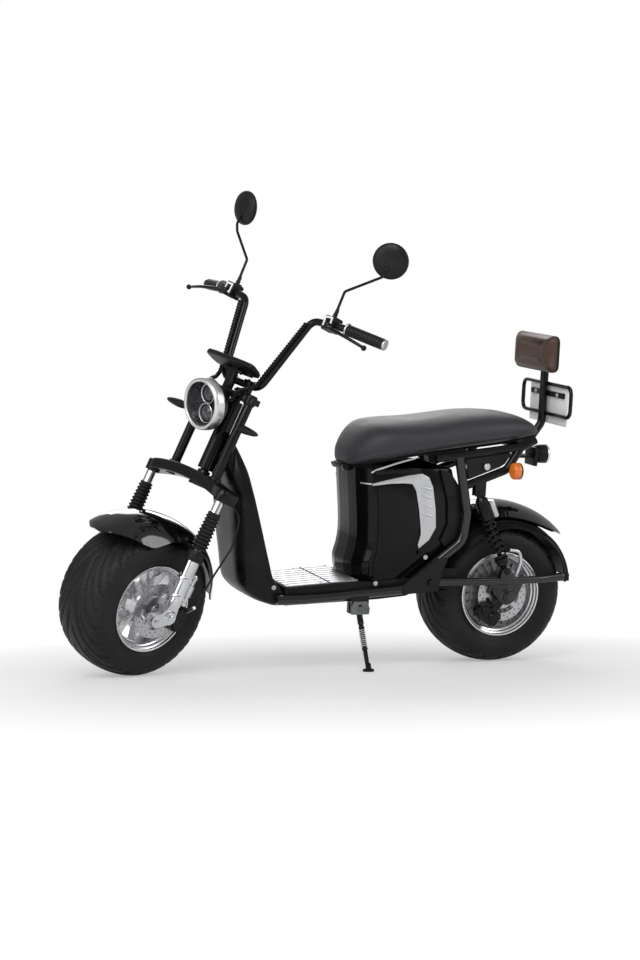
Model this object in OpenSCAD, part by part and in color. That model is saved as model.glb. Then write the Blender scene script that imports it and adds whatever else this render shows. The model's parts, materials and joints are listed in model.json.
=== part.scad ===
// Electric scooter with wide tyres, a long fork, a seat for two and a backrest.
// It is modelled upright, with x forward from the rear axle, y to the left and z up from a
// line close to the floor, then leaned onto its side stand with the steering turned as it parks.

/* [Stance] */
// Distance between the two axles
wheelbase = 1140; // [1080:10:1200]
// Angle at which it leans on its side stand
lean = 7; // [6:0.5:8]
// Angle of the steering to the left as it parks
steer = 23; // [18:1:26]
// Angle of the steering axis from the vertical
rake = 23; // [21:0.5:25]
// Distance of the front axle ahead of the steering axis
fork_offset = 50; // [44:1:56]

/* [Wheels] */
// Height of the axles above the line that the frame is measured from
axle_z = 225; // [218:1:230]
// Outer diameter of both tyres
tyre_d = 436; // [430:2:450]
// Width of both tyres
tyre_w = 202; // [196:2:210]
// Diameter over the rim flanges
rim_d = 256; // [248:2:262]
// Width over the rim flanges
rim_w = 186; // [176:2:190]
// Radius of the hub that carries the front spokes
hub_r = 34; // [30:1:40]
// Radius of both axles
axle_r = 8; // [7:0.5:9]
// Radius of both brake discs
disc_r = 80; // [74:1:86]
// Number of spokes on the front rim
spokes = 5; // [3:1:7]

/* [Fork] */
// Half the distance between the fork legs
fork_y = 157; // [152:1:162]
// Radius of the fork's sliding tubes
stanchion_r = 14; // [12:0.5:16]
// Radius of the fork's lower legs
leg_r = 20; // [18:0.5:22]
// Height of the lower legs' tops above the axle, along the fork
leg_top = 172; // [160:2:182]
// Height of the lower yoke above the axle, along the fork
yoke_h = 366; // [356:2:372]
// Thickness of the lower yoke
yoke_t = 38; // [32:1:42]
// Height of the upper yoke above the axle, along the fork
crown_h = 646; // [636:2:656]
// Radius of the two tubes above the lower yoke
outer_r = 14; // [12:0.5:16]
// Half the distance between the two tubes above the lower yoke
outer_y = 92; // [84:1:100]

/* [Frame] */
// Outer diameter of the side loops
loop_d = 28; // [25:1:30]
// Half the distance between the side loops
loop_y = 140; // [136:1:144]
// Outer diameter of the seat rails
rail_d = 25; // [22:1:27]
// Radius of the steering head
head_r = 24; // [22:1:27]
// Height of the swingarm's pivot
pivot_z = 277; // [270:1:284]
// Place of the swingarm's pivot ahead of the rear axle
pivot_x = 262; // [255:1:268]
// Wall of the body panels
panel_t = 4; // [3:0.5:5]

/* [Seat and rack] */
// Width of the seat
seat_w = 302; // [290:2:310]
// Width of the backrest
back_w = 248; // [236:2:260]
// Height of the backrest
back_h = 112; // [104:1:120]
// Width of the grab loop behind the seat
grab_w = 312; // [300:2:324]

/* [Controls] */
// Diameter of the headlamp's ring
lamp_d = 154; // [148:1:160]
// Diameter of the handlebar tube
bar_d = 22; // [20:0.5:24]
// Height of the handlebar's ends above the axle, along the fork
bar_h = 944; // [930:2:956]
// Diameter of the mirrors
mirror_d = 104; // [98:1:110]

/* [Hidden] */
$fn = 48;

// Small distances that pieces share
seat_gap = 0.3;
run_gap = 0.05;

// Tyre section from the crown to the bead: share of half the width, share of the section's height
tyre_side = [[0, 1], [0.22, 0.992], [0.42, 0.965], [0.6, 0.925], [0.76, 0.865], [0.88, 0.78],
    [0.96, 0.665], [1, 0.52], [0.99, 0.36], [0.94, 0.2], [0.88, 0.06]];
tyre_r = tyre_d / 2;
bead_r = rim_d / 2 - 10;
tyre_half = [for (p = tyre_side) [p[0] * tyre_w / 2, bead_r + (tyre_r - bead_r) * p[1]]];
function reach(a) = max([for (p = tyre_half) p[1] * cos(a) + p[0] * sin(a)]);

// Foot of the steering axis, level with the front axle along the fork
foot_x = wheelbase - fork_offset * cos(rake);
foot_z = axle_z - fork_offset * sin(rake);

// How the leaned and steered scooter meets the floor
front_c_y = fork_offset * sin(steer);
front_c_z = foot_z + fork_offset * cos(steer) * sin(rake);
front_tilt = asin(sin(steer) * sin(rake) * cos(lean) + cos(steer) * sin(lean));
front_low = front_c_z * cos(lean) - front_c_y * sin(lean) - reach(front_tilt);
rear_low = axle_z * cos(lean) - reach(lean);
front_c_x = foot_x + fork_offset * cos(steer) * cos(rake);
pitch = atan((front_low - rear_low) / front_c_x);
lift = -rear_low * cos(pitch);
// Centre of the parked scooter's outline on the floor
origin_x = 551.3;
origin_y = 114.7;

function turn_x(v, a) = [v[0], v[1] * cos(a) - v[2] * sin(a), v[1] * sin(a) + v[2] * cos(a)];
function turn_y(v, a) = [v[0] * cos(a) + v[2] * sin(a), v[1], -v[0] * sin(a) + v[2] * cos(a)];
function turn_z(v, a) = [v[0] * cos(a) - v[1] * sin(a), v[0] * sin(a) + v[1] * cos(a), v[2]];
function row_dir(v) = turn_y(turn_x(v, -lean), pitch);
function row_pt(v) = row_dir(v) + [-origin_x, -origin_y, lift];
function fork_dir(v) = turn_y(turn_z(v, steer), -rake);
function fork_pt(v) = fork_dir(v) + [foot_x, 0, foot_z];

module parked() {
    translate([-origin_x, -origin_y, lift]) rotate([0, pitch, 0]) rotate([-lean, 0, 0])
        children();
}
// Places what is given along the steering axis, from the axle's level up
module on_fork() {
    parked() translate([foot_x, 0, foot_z]) rotate([0, -rake, 0]) rotate([0, 0, steer])
        children();
}
module at_front_axle() on_fork() translate([fork_offset, 0, 0]) children();
module at_rear_axle() parked() translate([0, 0, axle_z]) children();
module both_sides() {
    children();
    mirror([0, 1, 0]) children();
}
// A cylinder along y between two values of y
module bar_y(r, y0, y1) translate([0, y0, 0]) rotate([-90, 0, 0]) cylinder(r = r, h = y1 - y0);
// A side view outline of [x, z] points, made into a plate between two values of y
module plate_y(pts, y0, y1) translate([0, y1, 0]) rotate([90, 0, 0])
    linear_extrude(y1 - y0) polygon(pts);

function unit(v) = v / norm(v);
// A round bar through points, with its corners bent to a radius and each bend lapped on its neighbours
bend_lap = 1;
bend_skin = 0.1;
module pipe(pts, d, bend, skin = bend_skin, $fn = 24) {
    last = len(pts) - 1;
    dirs = [for (i = [0:last - 1]) unit(pts[i + 1] - pts[i])];
    angles = [for (i = [1:last - 1]) acos(max(-1, min(1, dirs[i - 1] * dirs[i])))];
    cut = concat([0], [for (a = angles) bend * tan(a / 2) - bend_lap], [0]);
    normals = [for (i = [1:last - 1]) unit(cross(dirs[i - 1], dirs[i]))];
    for (i = [0:last - 1])
        placed(pts[i] + dirs[i] * cut[i], cross(dirs[i], normals[min(i, last - 2)]), dirs[i])
            cylinder(d = d, h = norm(pts[i + 1] - pts[i]) - cut[i] - cut[i + 1]);
    for (i = [1:last - 1]) {
        n = normals[i - 1];
        inward = cross(n, dirs[i - 1]);
        placed(pts[i] - dirs[i - 1] * (cut[i] + bend_lap) + inward * bend, -inward, n)
            rotate_extrude(angle = angles[i - 1]) translate([bend, 0]) circle(d = d + skin);
    }
}
// Puts the origin at a point, with its x and z along two directions
module placed(c, x, z) {
    y = cross(z, x);
    multmatrix([[x[0], y[0], z[0], c[0]], [x[1], y[1], z[1], c[1]], [x[2], y[2], z[2], c[2]]])
        children();
}

// A closed skin through rings of points, capped at both ends
module loft(rings) {
    n = len(rings[0]);
    m = len(rings);
    pts = [for (r = rings) for (p = r) p];
    sides = [for (i = [0:m - 2]) for (j = [0:n - 1]) each [
        [i * n + j, i * n + (j + 1) % n, (i + 1) * n + j],
        [i * n + (j + 1) % n, (i + 1) * n + (j + 1) % n, (i + 1) * n + j]]];
    polyhedron(points = pts, faces = concat(sides, [[for (j = [n - 1:-1:0]) j]],
        [[for (j = [0:n - 1]) (m - 1) * n + j]]), convexity = 6);
}

// A sheet of material between an outer and an inner grid of points
module sheet(outer, inner) {
    m = len(outer);
    n = len(outer[0]);
    k = m * n;
    pts = concat([for (r = outer) for (p = r) p], [for (r = inner) for (p = r) p]);
    skin = [for (i = [0:m - 2]) for (j = [0:n - 2]) each [
        [(i + 1) * n + j, i * n + j + 1, i * n + j],
        [(i + 1) * n + j, (i + 1) * n + j + 1, i * n + j + 1]]];
    back = [for (f = skin) [f[2] + k, f[1] + k, f[0] + k]];
    ends = [for (j = [0:n - 2]) each [
        [k + j, j, j + 1], [j + 1, k + j + 1, k + j],
        [k + (m - 1) * n + j, (m - 1) * n + j + 1, (m - 1) * n + j],
        [(m - 1) * n + j + 1, k + (m - 1) * n + j, k + (m - 1) * n + j + 1]]];
    edges = [for (i = [0:m - 2]) each [
        [k + i * n, (i + 1) * n, i * n], [(i + 1) * n, k + i * n, k + (i + 1) * n],
        [k + i * n + n - 1, i * n + n - 1, (i + 1) * n + n - 1],
        [(i + 1) * n + n - 1, k + (i + 1) * n + n - 1, k + i * n + n - 1]]];
    polyhedron(points = pts, faces = concat(skin, back, ends, edges), convexity = 6);
}

// Rows put between given rows, so that what they describe changes smoothly
function between(a, b, c, d, t) = (2 * b + (c - a) * t + (2 * a - 5 * b + 4 * c - d) * t * t
    + (3 * b - a - 3 * c + d) * t * t * t) / 2;
function smooth(rows, n) = let (m = len(rows)) concat([for (i = [0:m - 2]) for (k = [0:n - 1])
    between(rows[max(i - 1, 0)], rows[i], rows[i + 1], rows[min(i + 2, m - 1)], k / n)], [rows[m - 1]]);

// A mudguard round the y axis: rows of [angle above forward, half width, crown radius, drop at the edge]
module guard(rows, t) {
    n = 8;
    fine = smooth(rows, 3);
    function at(a, r, y) = [r * cos(a), y, r * sin(a)];
    function line(w, inset) = [for (j = [-n:n]) let (s = j / n)
        at(w[0], w[2] - inset - w[3] * pow(abs(s), 2.6), (w[1] - inset * abs(s)) * s)];
    sheet([for (w = fine) line(w, 0)], [for (w = fine) line(w, t)]);
}

// Frame: head tube, down tube, side loops, seat rails and cross tubes
loop_pts = [[655, 234], [345, 256], [160, 400], [150, 480], [186, 652]];
rail_pts = [[262, 645], [-20, 681], [-62, 702]];
tail_pts = [[158, 565], [28, 612], [-16, 680]];
down_pts = [[893, 668], [752, 240], [632, 235.7]];
down_d = 38;
cross_pts = [[630, 236], [380, 253], [150, 480], [-20, 681]];
cross_r = 10;
arm_in = loop_y - 12;
arm_out = loop_y + 12;
pivot_bolt_r = 7;
shock_top = [115, 542];
shock_low = [12, 304];
eye_r = 13;
eye_w = 15.4;
eye_bolt_r = 6;
stem_r = 13;
head_low = 424;
head_high = crown_h - 6;
hinge_x = 512;
hinge_z = 611;
hinge_r = 7.5;
module down_tube(gap) pipe(at_y(down_pts, 0), down_d + 2 * gap, 60, 0.6);
function at_y(pts, y) = [for (p = pts) [p[0], y, p[1]]];

module frame() color("#17181a") {
    difference() {
        union() {
            parked() {
                both_sides() {
                    pipe(at_y(loop_pts, loop_y), loop_d, 58);
                    pipe(at_y(rail_pts, loop_y), rail_d, 40);
                    pipe(at_y(tail_pts, loop_y), rail_d, 30);
                    plate_y([[352, 244], [238, 252], [232, 300], [212, 350], [246, 350], [352, 272]],
                        arm_out + seat_gap, arm_out + 6);
                    translate([shock_top[0], 0, 0]) difference() {
                        translate([-17, arm_in, shock_top[1] - 8]) cube([34, 24, 50]);
                        translate([-18, loop_y - eye_w / 2 - seat_gap, shock_top[1] - 17])
                            cube([36, eye_w + 2 * seat_gap, 34]);
                    }
                    translate([shock_top[0], 0, shock_top[1]]) bar_y(eye_bolt_r, arm_in, arm_out + 6);
                    translate([pivot_x, 0, pivot_z]) bar_y(11, arm_out + 5, arm_out + 13);
                }
                for (c = cross_pts) translate([c[0], 0, c[1]]) bar_y(cross_r, -loop_y, loop_y);
                translate([pivot_x, 0, pivot_z]) bar_y(pivot_bolt_r, -arm_out - 5, arm_out + 5);
                down_tube(0);
                translate([458, 118, 188]) cube([54, 36, 33.5]);
                translate([458, 126, 188]) cube([54, 28, 52]);
            }
            on_head() cylinder(r = head_r, h = head_high - head_low);
        }
        on_head() translate([0, 0, -1]) cylinder(r = stem_r + run_gap, h = head_high - head_low + 2);
        parked() stand_slot();
    }
}
module on_head() parked() translate([foot_x, 0, foot_z]) rotate([0, -rake, 0])
    translate([0, 0, head_low]) children();

// Side stand: pivot in a bracket under the left loop, foot on the floor
stand_pivot = [485, loop_y, 206];
stand_foot_x = 470;
stand_foot_y = 205;
stand_foot_z = ((stand_foot_x * sin(pitch) - lift) / cos(pitch) + stand_foot_y * sin(lean)) / cos(lean);
stand_foot = [stand_foot_x, stand_foot_y, stand_foot_z];
stand_dir = unit(stand_foot - stand_pivot);
stand_axis = unit(cross(stand_dir, [-1, 0, 0]));
stand_pin_r = 6;
stand_w = 10;
// Places what is given at the stand's pivot, with z along its pin and x down the leg
module at_stand() placed(stand_pivot, stand_dir, stand_axis) children();
module stand_slot() {
    at_stand() translate([-17, -60, -stand_w / 2 - 0.5]) cube([60, 120, stand_w + 1]);
    at_stand() translate([0, 0, -40]) cylinder(r = stand_pin_r + run_gap, h = 80);
}
module side_stand() color("#222326") {
    parked() at_stand() {
        cylinder(r = 14, h = stand_w, center = true);
        cylinder(r = stand_pin_r, h = 40, center = true);
        translate([0, -8, -stand_w / 2]) cube([norm(stand_foot - stand_pivot) - 12, 16, stand_w]);
    }
    translate(row_pt(stand_foot)) cylinder(r = 17, h = 8);
    translate(row_pt(stand_foot) + [0, 0, 13]) sphere(r = 12);
}

// Leg shield: side outline and front outline crossed, round the down tube
shield_side = [[872, 708], [830, 620], [803, 513], [760, 352], [740, 284], [712, 262], [712, 212],
    [757, 216], [800, 234], [838, 268], [850, 332], [864, 430], [874, 523], [888, 600], [880, 640]];
shield_front = [[-130, 200], [130, 200], [130, 480], [118, 560], [88, 640], [60, 700], [50, 712],
    [-50, 712], [-60, 700], [-88, 640], [-118, 560], [-130, 480]];
// An outline, given counterclockwise, moved inward by a distance
function inset(pts, d) = let (n = len(pts)) [for (i = [0:n - 1]) let (
    a = unit(pts[i] - pts[(i + n - 1) % n]), b = unit(pts[(i + 1) % n] - pts[i]),
    na = [-a[1], a[0]], nb = [-b[1], b[0]]) pts[i] + (na + nb) * d / (1 + na * nb)];
module shield_body(d) intersection() {
    plate_y(inset(shield_side, d), -132, 132);
    translate([600, 0, 0]) rotate([90, 0, 90]) linear_extrude(400) polygon(inset(shield_front, d));
}
module leg_shield() color("#101012") parked() difference() {
    shield_body(0);
    shield_body(panel_t);
    down_tube(seat_gap);
    translate([foot_x, 0, foot_z]) rotate([0, -rake, 0]) translate([0, 0, head_low - 40])
        cylinder(r = head_r + seat_gap, h = 400);
}

// Floor: tray between the loops and the ribbed board on it
tray_x = 711;
tray_top = 262;
tray_rise = 16 / 243;
function tray_z(x) = tray_top + (tray_x - x) * tray_rise;
board_t = 9;
board_l = 229;
panel_y = loop_y - loop_d / 2 - seat_gap;
module floor_tray() color("#141416") parked() difference() {
    plate_y([[tray_x, 214], [tray_x, tray_top], [290, tray_z(290)], [290, 250], [330, 234], [420, 226]],
        -panel_y, panel_y);
    for (c = cross_pts) translate([c[0], 0, c[1]]) bar_y(cross_r + seat_gap, -loop_y, loop_y);
    down_tube(seat_gap);
}
board_ribs = 9;
module floor_board() color("#c9ccd0") parked() {
    translate([tray_x, 0, tray_top + seat_gap]) rotate([0, atan(tray_rise), 0]) mirror([1, 0, 0]) {
        translate([0, -132, 0]) cube([board_l, 264, board_t - 3]);
        for (i = [0:board_ribs - 1]) translate([4, -128 + i * 29, board_t - 4])
            cube([board_l - 8, 24, 4]);
    }
}

// Body under the seat: a hollow box of panels round the battery
body_top = 614;
// Rows of the front panel: height, x at the middle
body_rows = [[280.6, 478], [330, 498], [414, 484], [520, 492], [body_top, 500]];
body_n = 10;
body_curve = 42;
function body_line(r, inset) = [for (j = [-body_n:body_n]) let (s = sin(90 * j / body_n))
    [r[1] - inset * (1 - pow(abs(s), 6)) - body_curve * pow(abs(s), 2.8), (panel_y - inset) * s, r[0]]];
module body_front() color("#0c0c0e") parked() {
    sheet([for (r = body_rows) body_line(r, 0)], [for (r = body_rows) body_line(r, panel_t)]);
    both_sides() {
        translate([hinge_x - 22, 32, 598]) cube([22, 14, hinge_z - 598]);
        translate([hinge_x, 0, hinge_z]) bar_y(6, 32, 46);
    }
    translate([hinge_x, 0, hinge_z]) bar_y(hinge_pin_r, -46, 46);
}
back_pts = [[288, tray_z(288) + 0.5], [202, 385], [182, 440], [184, 520], [206, body_top]];
module body_back() color("#131315") parked()
    plate_y(concat(back_pts, [for (i = [len(back_pts) - 1:-1:0]) back_pts[i] + [panel_t, 0]]),
        -panel_y + panel_t + seat_gap, panel_y - panel_t - seat_gap);
side_outline = concat([for (r = body_rows) [r[1] - body_curve - seat_gap, r[0]]],
    [[202, body_top], [172, 520], [166, 440], [176, 392], [310, tray_z(310) + 0.5]]);
module side_panels() color("#1a1b1d") parked() both_sides()
    plate_y(side_outline, panel_y - panel_t, panel_y);
trim_outline = [[432, 552], [436, 562], [292, 596], [262, 588], [236, 560], [228, 470], [262, 420],
    [300, 388], [296, 400], [262, 436], [254, 470], [262, 548], [286, 578]];
module side_trims() color("#d9dcdf") parked() both_sides()
    plate_y(trim_outline, panel_y + seat_gap, panel_y + 6);
module battery() color("#2c2f33") parked() translate([293, -100, tray_z(293) + 0.5]) cube([145, 200, 200]);

// Panels beside the seat's tail, between the rail and the lower tube
tail_outline = [[154, 583.5], [54, 620], [37, 630], [16, 661.6], [22, 662.2], [166, 643.9]];
module tail_panels() color("#141416") parked() both_sides() {
    plate_y(tail_outline, loop_y - 4, loop_y + 4);
    translate([97, 0, 622]) bar_y(9, loop_y + 4, loop_y + 8);
}

// Swingarm: two arms on the pivot, plates down to the axle, and the rear axle
arm_pts = [[pivot_x - 8, pivot_z - 13], [-112, 265], [-186, 276], [-186, 292], [-110, 289],
    [pivot_x - 8, pivot_z + 13]];
drop_pts = [[52, 270], [24, 218], [-24, 218], [-52, 270]];
pivot_tube_r = 15;
hub_half = 112;
module swingarm() color("#1b1c1e") parked() difference() {
    union() {
        both_sides() {
            plate_y(arm_pts, arm_in, arm_out);
            translate([pivot_x, 0, pivot_z]) bar_y(20, arm_in, arm_out);
            plate_y(drop_pts, arm_in, arm_in + 10);
            translate([0, 0, axle_z]) bar_y(25, arm_in, arm_in + 10);
            translate([0, 0, axle_z]) bar_y(15, hub_half + 0.6, arm_in);
            translate([0, 0, axle_z]) bar_y(14, arm_in, arm_in + 18);
            plate_y([[34, 280], [24, 312], [0, 312], [-10, 280]], arm_in, arm_in + 4);
            plate_y([[34, 280], [24, 312], [0, 312], [-10, 280]], arm_out - 4, arm_out);
            translate([shock_low[0], 0, shock_low[1]]) bar_y(eye_bolt_r, arm_in, arm_out + 6);
        }
        translate([pivot_x, 0, pivot_z]) bar_y(pivot_tube_r, -arm_in, arm_in);
        translate([0, 0, axle_z]) bar_y(axle_r, -arm_in, arm_in);
    }
    translate([pivot_x, 0, pivot_z]) bar_y(pivot_bolt_r + 0.2, -arm_out - 1, arm_out + 1);
}

// Shocks: damper body and rod with an eye at each end, spring round the lower half
shock_v = [shock_low[0] - shock_top[0], 0, shock_low[1] - shock_top[1]];
shock_l = norm(shock_v);
module on_shock() translate([shock_top[0], loop_y, shock_top[1]])
    rotate([0, atan2(shock_v[0], shock_v[2]), 0]) children();
coil_d = 6;
coil_r = 17;
module rear_shocks() color("#202124") parked() both_sides() on_shock() difference() {
    union() {
        for (z = [0, shock_l]) translate([0, 0, z]) bar_y(eye_r, -eye_w / 2, eye_w / 2);
        translate([0, 0, 20]) cylinder(r = 19, h = 59);
        cylinder(r = 7.5, h = shock_l);
        translate([0, 0, 76]) cylinder(r = 21, h = 8);
        translate([0, 0, shock_l - 46]) cylinder(r = 21, h = 24);
        translate([-28, 0, 22]) cylinder(r = 10, h = 52);
        translate([-28, -5, 26]) cube([20, 10, 16]);
    }
    for (z = [0, shock_l]) translate([0, 0, z]) bar_y(eye_bolt_r + 0.15, -eye_w, eye_w);
}
coil_turns = 7;
module rear_springs() color("#26272a") parked() both_sides() on_shock() {
    step = (shock_l - 46 - 84 - 2 * seat_gap - coil_d) / (coil_turns - 1);
    difference() {
        union() {
            for (i = [0:coil_turns - 1]) translate([0, 0, 84 + seat_gap + coil_d / 2 + i * step])
                rotate_extrude() translate([coil_r, 0]) circle(d = coil_d, $fn = 24);
            translate([coil_r - 2, -2, 84 + seat_gap + coil_d / 2]) cube([4, 4, step * (coil_turns - 1)]);
        }
        translate([0, 0, 60]) cylinder(r = 9.3, h = shock_l);
    }
}

// Rear brake: calliper over the disc, held by a bracket on the left plate
module caliper(y_in, y_out, slot_in, slot_out, r_mid, a) rotate([0, -a, 0]) difference() {
    plate_y([[r_mid - 26, -30], [r_mid - 12, -38], [r_mid + 14, -38], [r_mid + 26, -22],
        [r_mid + 26, 22], [r_mid + 14, 38], [r_mid - 12, 38], [r_mid - 26, 30]], y_in, y_out);
    bar_y(disc_r + 3, slot_in, slot_out);
}
disc_y = 100;
disc_t = 4;
module rear_brake() color("#161718") at_rear_axle() {
    caliper(disc_y - 13, 122, disc_y - 1.5, disc_y + disc_t + 1.5, 74, -50);
    difference() {
        rotate([0, 50, 0]) translate([0, 120, -11]) cube([60, arm_in - seat_gap - 120, 22]);
        bar_y(15.3, 100, 140);
    }
}

// Mudguards: a gloss one under the seat, a matt one close round the rear tyre
rear_rows = [[68, 102, 278, 30], [80, 106, 277, 34], [96, 109, 277, 38], [110, 109, 278, 38],
    [122, 103, 280, 34], [132, 86, 283, 24], [139, 60, 286, 12], [143, 30, 288, 4]];
guard_t = 3.5;
module rear_fender() color("#0b0b0d") {
    at_rear_axle() guard(rear_rows, guard_t);
    parked() translate([88, -30, 478]) cube([52 - seat_gap, 60, 8]);
}
hug_rows = [[24, 112, 240, 40], [42, 116, 240, 46], [62, 116, 240, 46], [90, 116, 241, 34],
    [115, 116, 243, 32], [138, 116, 248, 28], [155, 115, 252, 34], [170, 112, 254, 42]];
module wheel_hugger() color("#1d1e20") {
    at_rear_axle() guard(hug_rows, guard_t);
    parked() both_sides() for (x = [-212, 168])
        translate([x, 109, 268]) cube([44, arm_in - seat_gap - 109, x < 0 ? 22 : 46]);
}

// Tail: lamp on its bracket, indicators, rack with the grab loop, backrest, plate
lamp_z = 642;
module tail_lamp() color("#1a1a1c") parked() {
    translate([-196, 0, lamp_z]) rotate([0, 90, 0]) cylinder(r = 29, h = 68);
    translate([-200, 0, lamp_z]) rotate([0, 90, 0]) cylinder(r = 25, h = 6);
    translate([-129, -34, lamp_z - 34]) cube([12, 68, 56]);
    translate([-118, -24, lamp_z - 10]) cube([90, 48, 8]);
    translate([-72, -10, lamp_z - 6]) cube([12, 20, 33]);
}
module rear_indicators() color("#e07a10") parked() both_sides() {
    translate([4, loop_y + 39, 613]) rotate([0, 90, 0]) cylinder(r = 25, h = 26);
    translate([21.5, 0, 622]) bar_y(5, loop_y + rail_d / 2 + seat_gap, loop_y + 38);
}
post_x = -152;
post_top = 962;
plate_x = post_x - 22.3;
grab_z = [768, 860];
module rack() color("#141517") {
    at_backrest() translate([-16, -40, -30]) cube([4, 80, 60]);
    parked() rack_bars();
}
module rack_bars() {
    pipe([[-30.3, 0, 681], [-112, 0, 684], [post_x, 0, 740], [post_x, 0, post_top]], 25, 40);
    gx = post_x - 12;
    gy = grab_w / 2;
    pipe([[gx, 1, grab_z[0]], [gx, gy, grab_z[0]], [gx, gy, grab_z[1]], [gx, -gy, grab_z[1]],
        [gx, -gy, grab_z[0]], [gx, -1, grab_z[0]]], 12, 26);
    translate([gx, 0, grab_z[0]]) bar_y(6.1, -4, 4);
    translate([plate_x + 3 + seat_gap, -106, 822]) cube([8, 212, 16]);
}
back_z = 956;
back_x = post_x + 25.3;
module at_backrest() parked() translate([back_x, 0, back_z]) children();
function round_rect(w, h, r, n) = [for (q = [0:3]) for (i = [0:n]) let (a = 90 * (q + i / n))
    [(q == 0 || q == 3 ? 1 : -1) * (w / 2 - r) + r * cos(a),
    (q < 2 ? 1 : -1) * (h / 2 - r) + r * sin(a)]];
module backrest() color("#3a2319") at_backrest() loft([for (r = [[32, -60, -44], [29, -34, -26], [21, -12, -10],
    [8, 0, 0], [2, -3, -3], [-1, -14, -14]]) [for (p = round_rect(back_w + r[1], back_h + r[2], 30, 5))
    [r[0], p[0], p[1]]]]);
module backrest_shell() color("#17181a") at_backrest() translate([-1 - seat_gap, 0, 0]) {
    loft([for (r = [[0, -2, -2], [-8, -10, -10], [-10, -30, -30]])
        [for (p = round_rect(back_w + r[1], back_h + r[2], 30, 5)) [r[0], p[0], p[1]]]]);
}
module number_plate() color("#f1f2f3") parked() translate([plate_x, -122, 738]) cube([3, 244, 116]);

// Seat: pan hinged at the front, cushion on it
// Line of the pan's top, and rows of the cushion: x, share of the half width, gap over the pan, top
pan_line = [[524, 625.4], [520, 625.7], [485, 623.7], [430, 629.7], [350, 644.7], [250, 659.7], [150, 672.7],
    [40, 686.7], [-28, 697.4], [-98, 711]];
seat_rows = [[523, 0.2, 17, 656], [519, 0.37, 8, 672], [509, 0.55, 2, 696], [493, 0.7, seat_gap, 716],
    [470, 0.83, seat_gap, 733], [440, 0.93, seat_gap, 743], [395, 0.985, seat_gap, 747], [350, 1, seat_gap, 747],
    [300, 1, seat_gap, 748], [250, 0.995, seat_gap, 753], [200, 0.985, seat_gap, 761], [150, 0.98, seat_gap, 768], [85, 0.965, seat_gap, 773],
    [20, 0.93, seat_gap, 773], [-36, 0.87, 1, 767], [-74, 0.77, 2, 751], [-98, 0.55, 3, 730]];
seat_n = 7;
function seat_ring(r) = let (low = lookup(r[0], pan_line) + r[2], mid = (low + r[3]) / 2)
    [for (j = [0:4 * seat_n - 1]) let (a = 90 * j / seat_n, c = cos(a), s = sin(a), e = 0.62)
    [r[0], r[1] * seat_w / 2 * sign(c) * pow(abs(c), e), mid + (r[3] - low) / 2 * sign(s) * pow(abs(s), e)]];
module seat_cushion() color("#232428") parked() loft([for (r = seat_rows) seat_ring(r)]);
hinge_pin_r = 4;
pan_t = 6;
pan_half = 92;
pan_end = 8;
module seat_pan() color("#18191b") parked() difference() {
    union() {
        intersection() {
            plate_y(concat([for (i = [0:pan_end]) pan_line[i]], [[-28, 691.3], [-8, 691.3], [20, 683.5]],
                [for (i = [pan_end - 2:-1:0]) pan_line[i] - [0, pan_t]]), -pan_half, pan_half);
            linear_extrude(1000) polygon([[-40, -pan_half], [450, -pan_half], [500, -58], [530, -32],
                [530, 32], [500, 58], [450, pan_half], [-40, pan_half]]);
        }
        translate([hinge_x, 0, hinge_z]) bar_y(hinge_r, -30, 30);
        translate([hinge_x - 6, -30, hinge_z]) cube([12, 60, 9]);
    }
    translate([hinge_x, 0, hinge_z]) bar_y(hinge_pin_r + run_gap, -200, 200);
}

// Yokes: lower yoke, stem, upper yoke and the two tubes between them
fork_x = 44;
outer_x = 34;
yoke_half = 178;
yoke_depth = 72;
yoke_rise = 25;
function bow(half, z_end, rise, n) = let (r = (half * half + rise * rise) / (2 * rise))
    [for (i = [-n:n]) let (y = half * i / n) [y, z_end + sqrt(r * r - y * y) - (r - rise)]];
function reversed(v) = [for (i = [len(v) - 1:-1:0]) v[i]];
module yokes() color("#1b1b1c") on_fork() difference() {
    union() {
        intersection() {
            rotate([90, 0, 90]) linear_extrude(yoke_depth)
                polygon(concat(bow(yoke_half, yoke_h - 10, yoke_rise, 12),
                    reversed(bow(yoke_half, yoke_h + yoke_t - 16, yoke_rise, 12))));
            translate([0, 0, yoke_h - 40]) linear_extrude(120) polygon([[0, -yoke_half], [44, -yoke_half],
                [62, -168], [yoke_depth, -140], [yoke_depth, 140], [62, 168], [44, yoke_half], [0, yoke_half]]);
        }
        both_sides() translate([fork_x, fork_y, yoke_h - 8]) cylinder(r = 22, h = 32);
        translate([0, 0, yoke_h + 6]) cylinder(r = 30, h = yoke_t + 2);
        cylinder_from(yoke_h + 10, crown_h + 22, stem_r);
        translate([0, 0, yoke_h + yoke_t + 4]) cylinder(r = 19, h = 10);
        both_sides() translate([outer_x, outer_y, yoke_h + 14])
            cylinder(r = outer_r, h = crown_h - yoke_h);
        translate([0, 0, crown_h]) linear_extrude(18) polygon([[-24, -20], [14, -outer_y - 20],
            [44, -outer_y - 20], [60, -30], [60, 30], [44, outer_y + 20], [14, outer_y + 20], [-24, 20]]);
        translate([0, 0, crown_h + 18]) cylinder(r = 18, h = 8);
        both_sides() translate([10, 40, crown_h + 18]) cylinder(r = 12, h = riser_h);
    }
    both_sides() translate([fork_x, fork_y, yoke_h - 60]) cylinder(r = stanchion_r + 0.15, h = 62 + 4);
    translate([10, 0, bar_z]) bar_y(bar_d / 2 + 0.15, -60, 60);
}
module cylinder_from(z0, z1, r) translate([0, 0, z0]) cylinder(r = r, h = z1 - z0);
riser_h = 36;
bar_z = crown_h + 18 + riser_h - 4;

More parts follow.
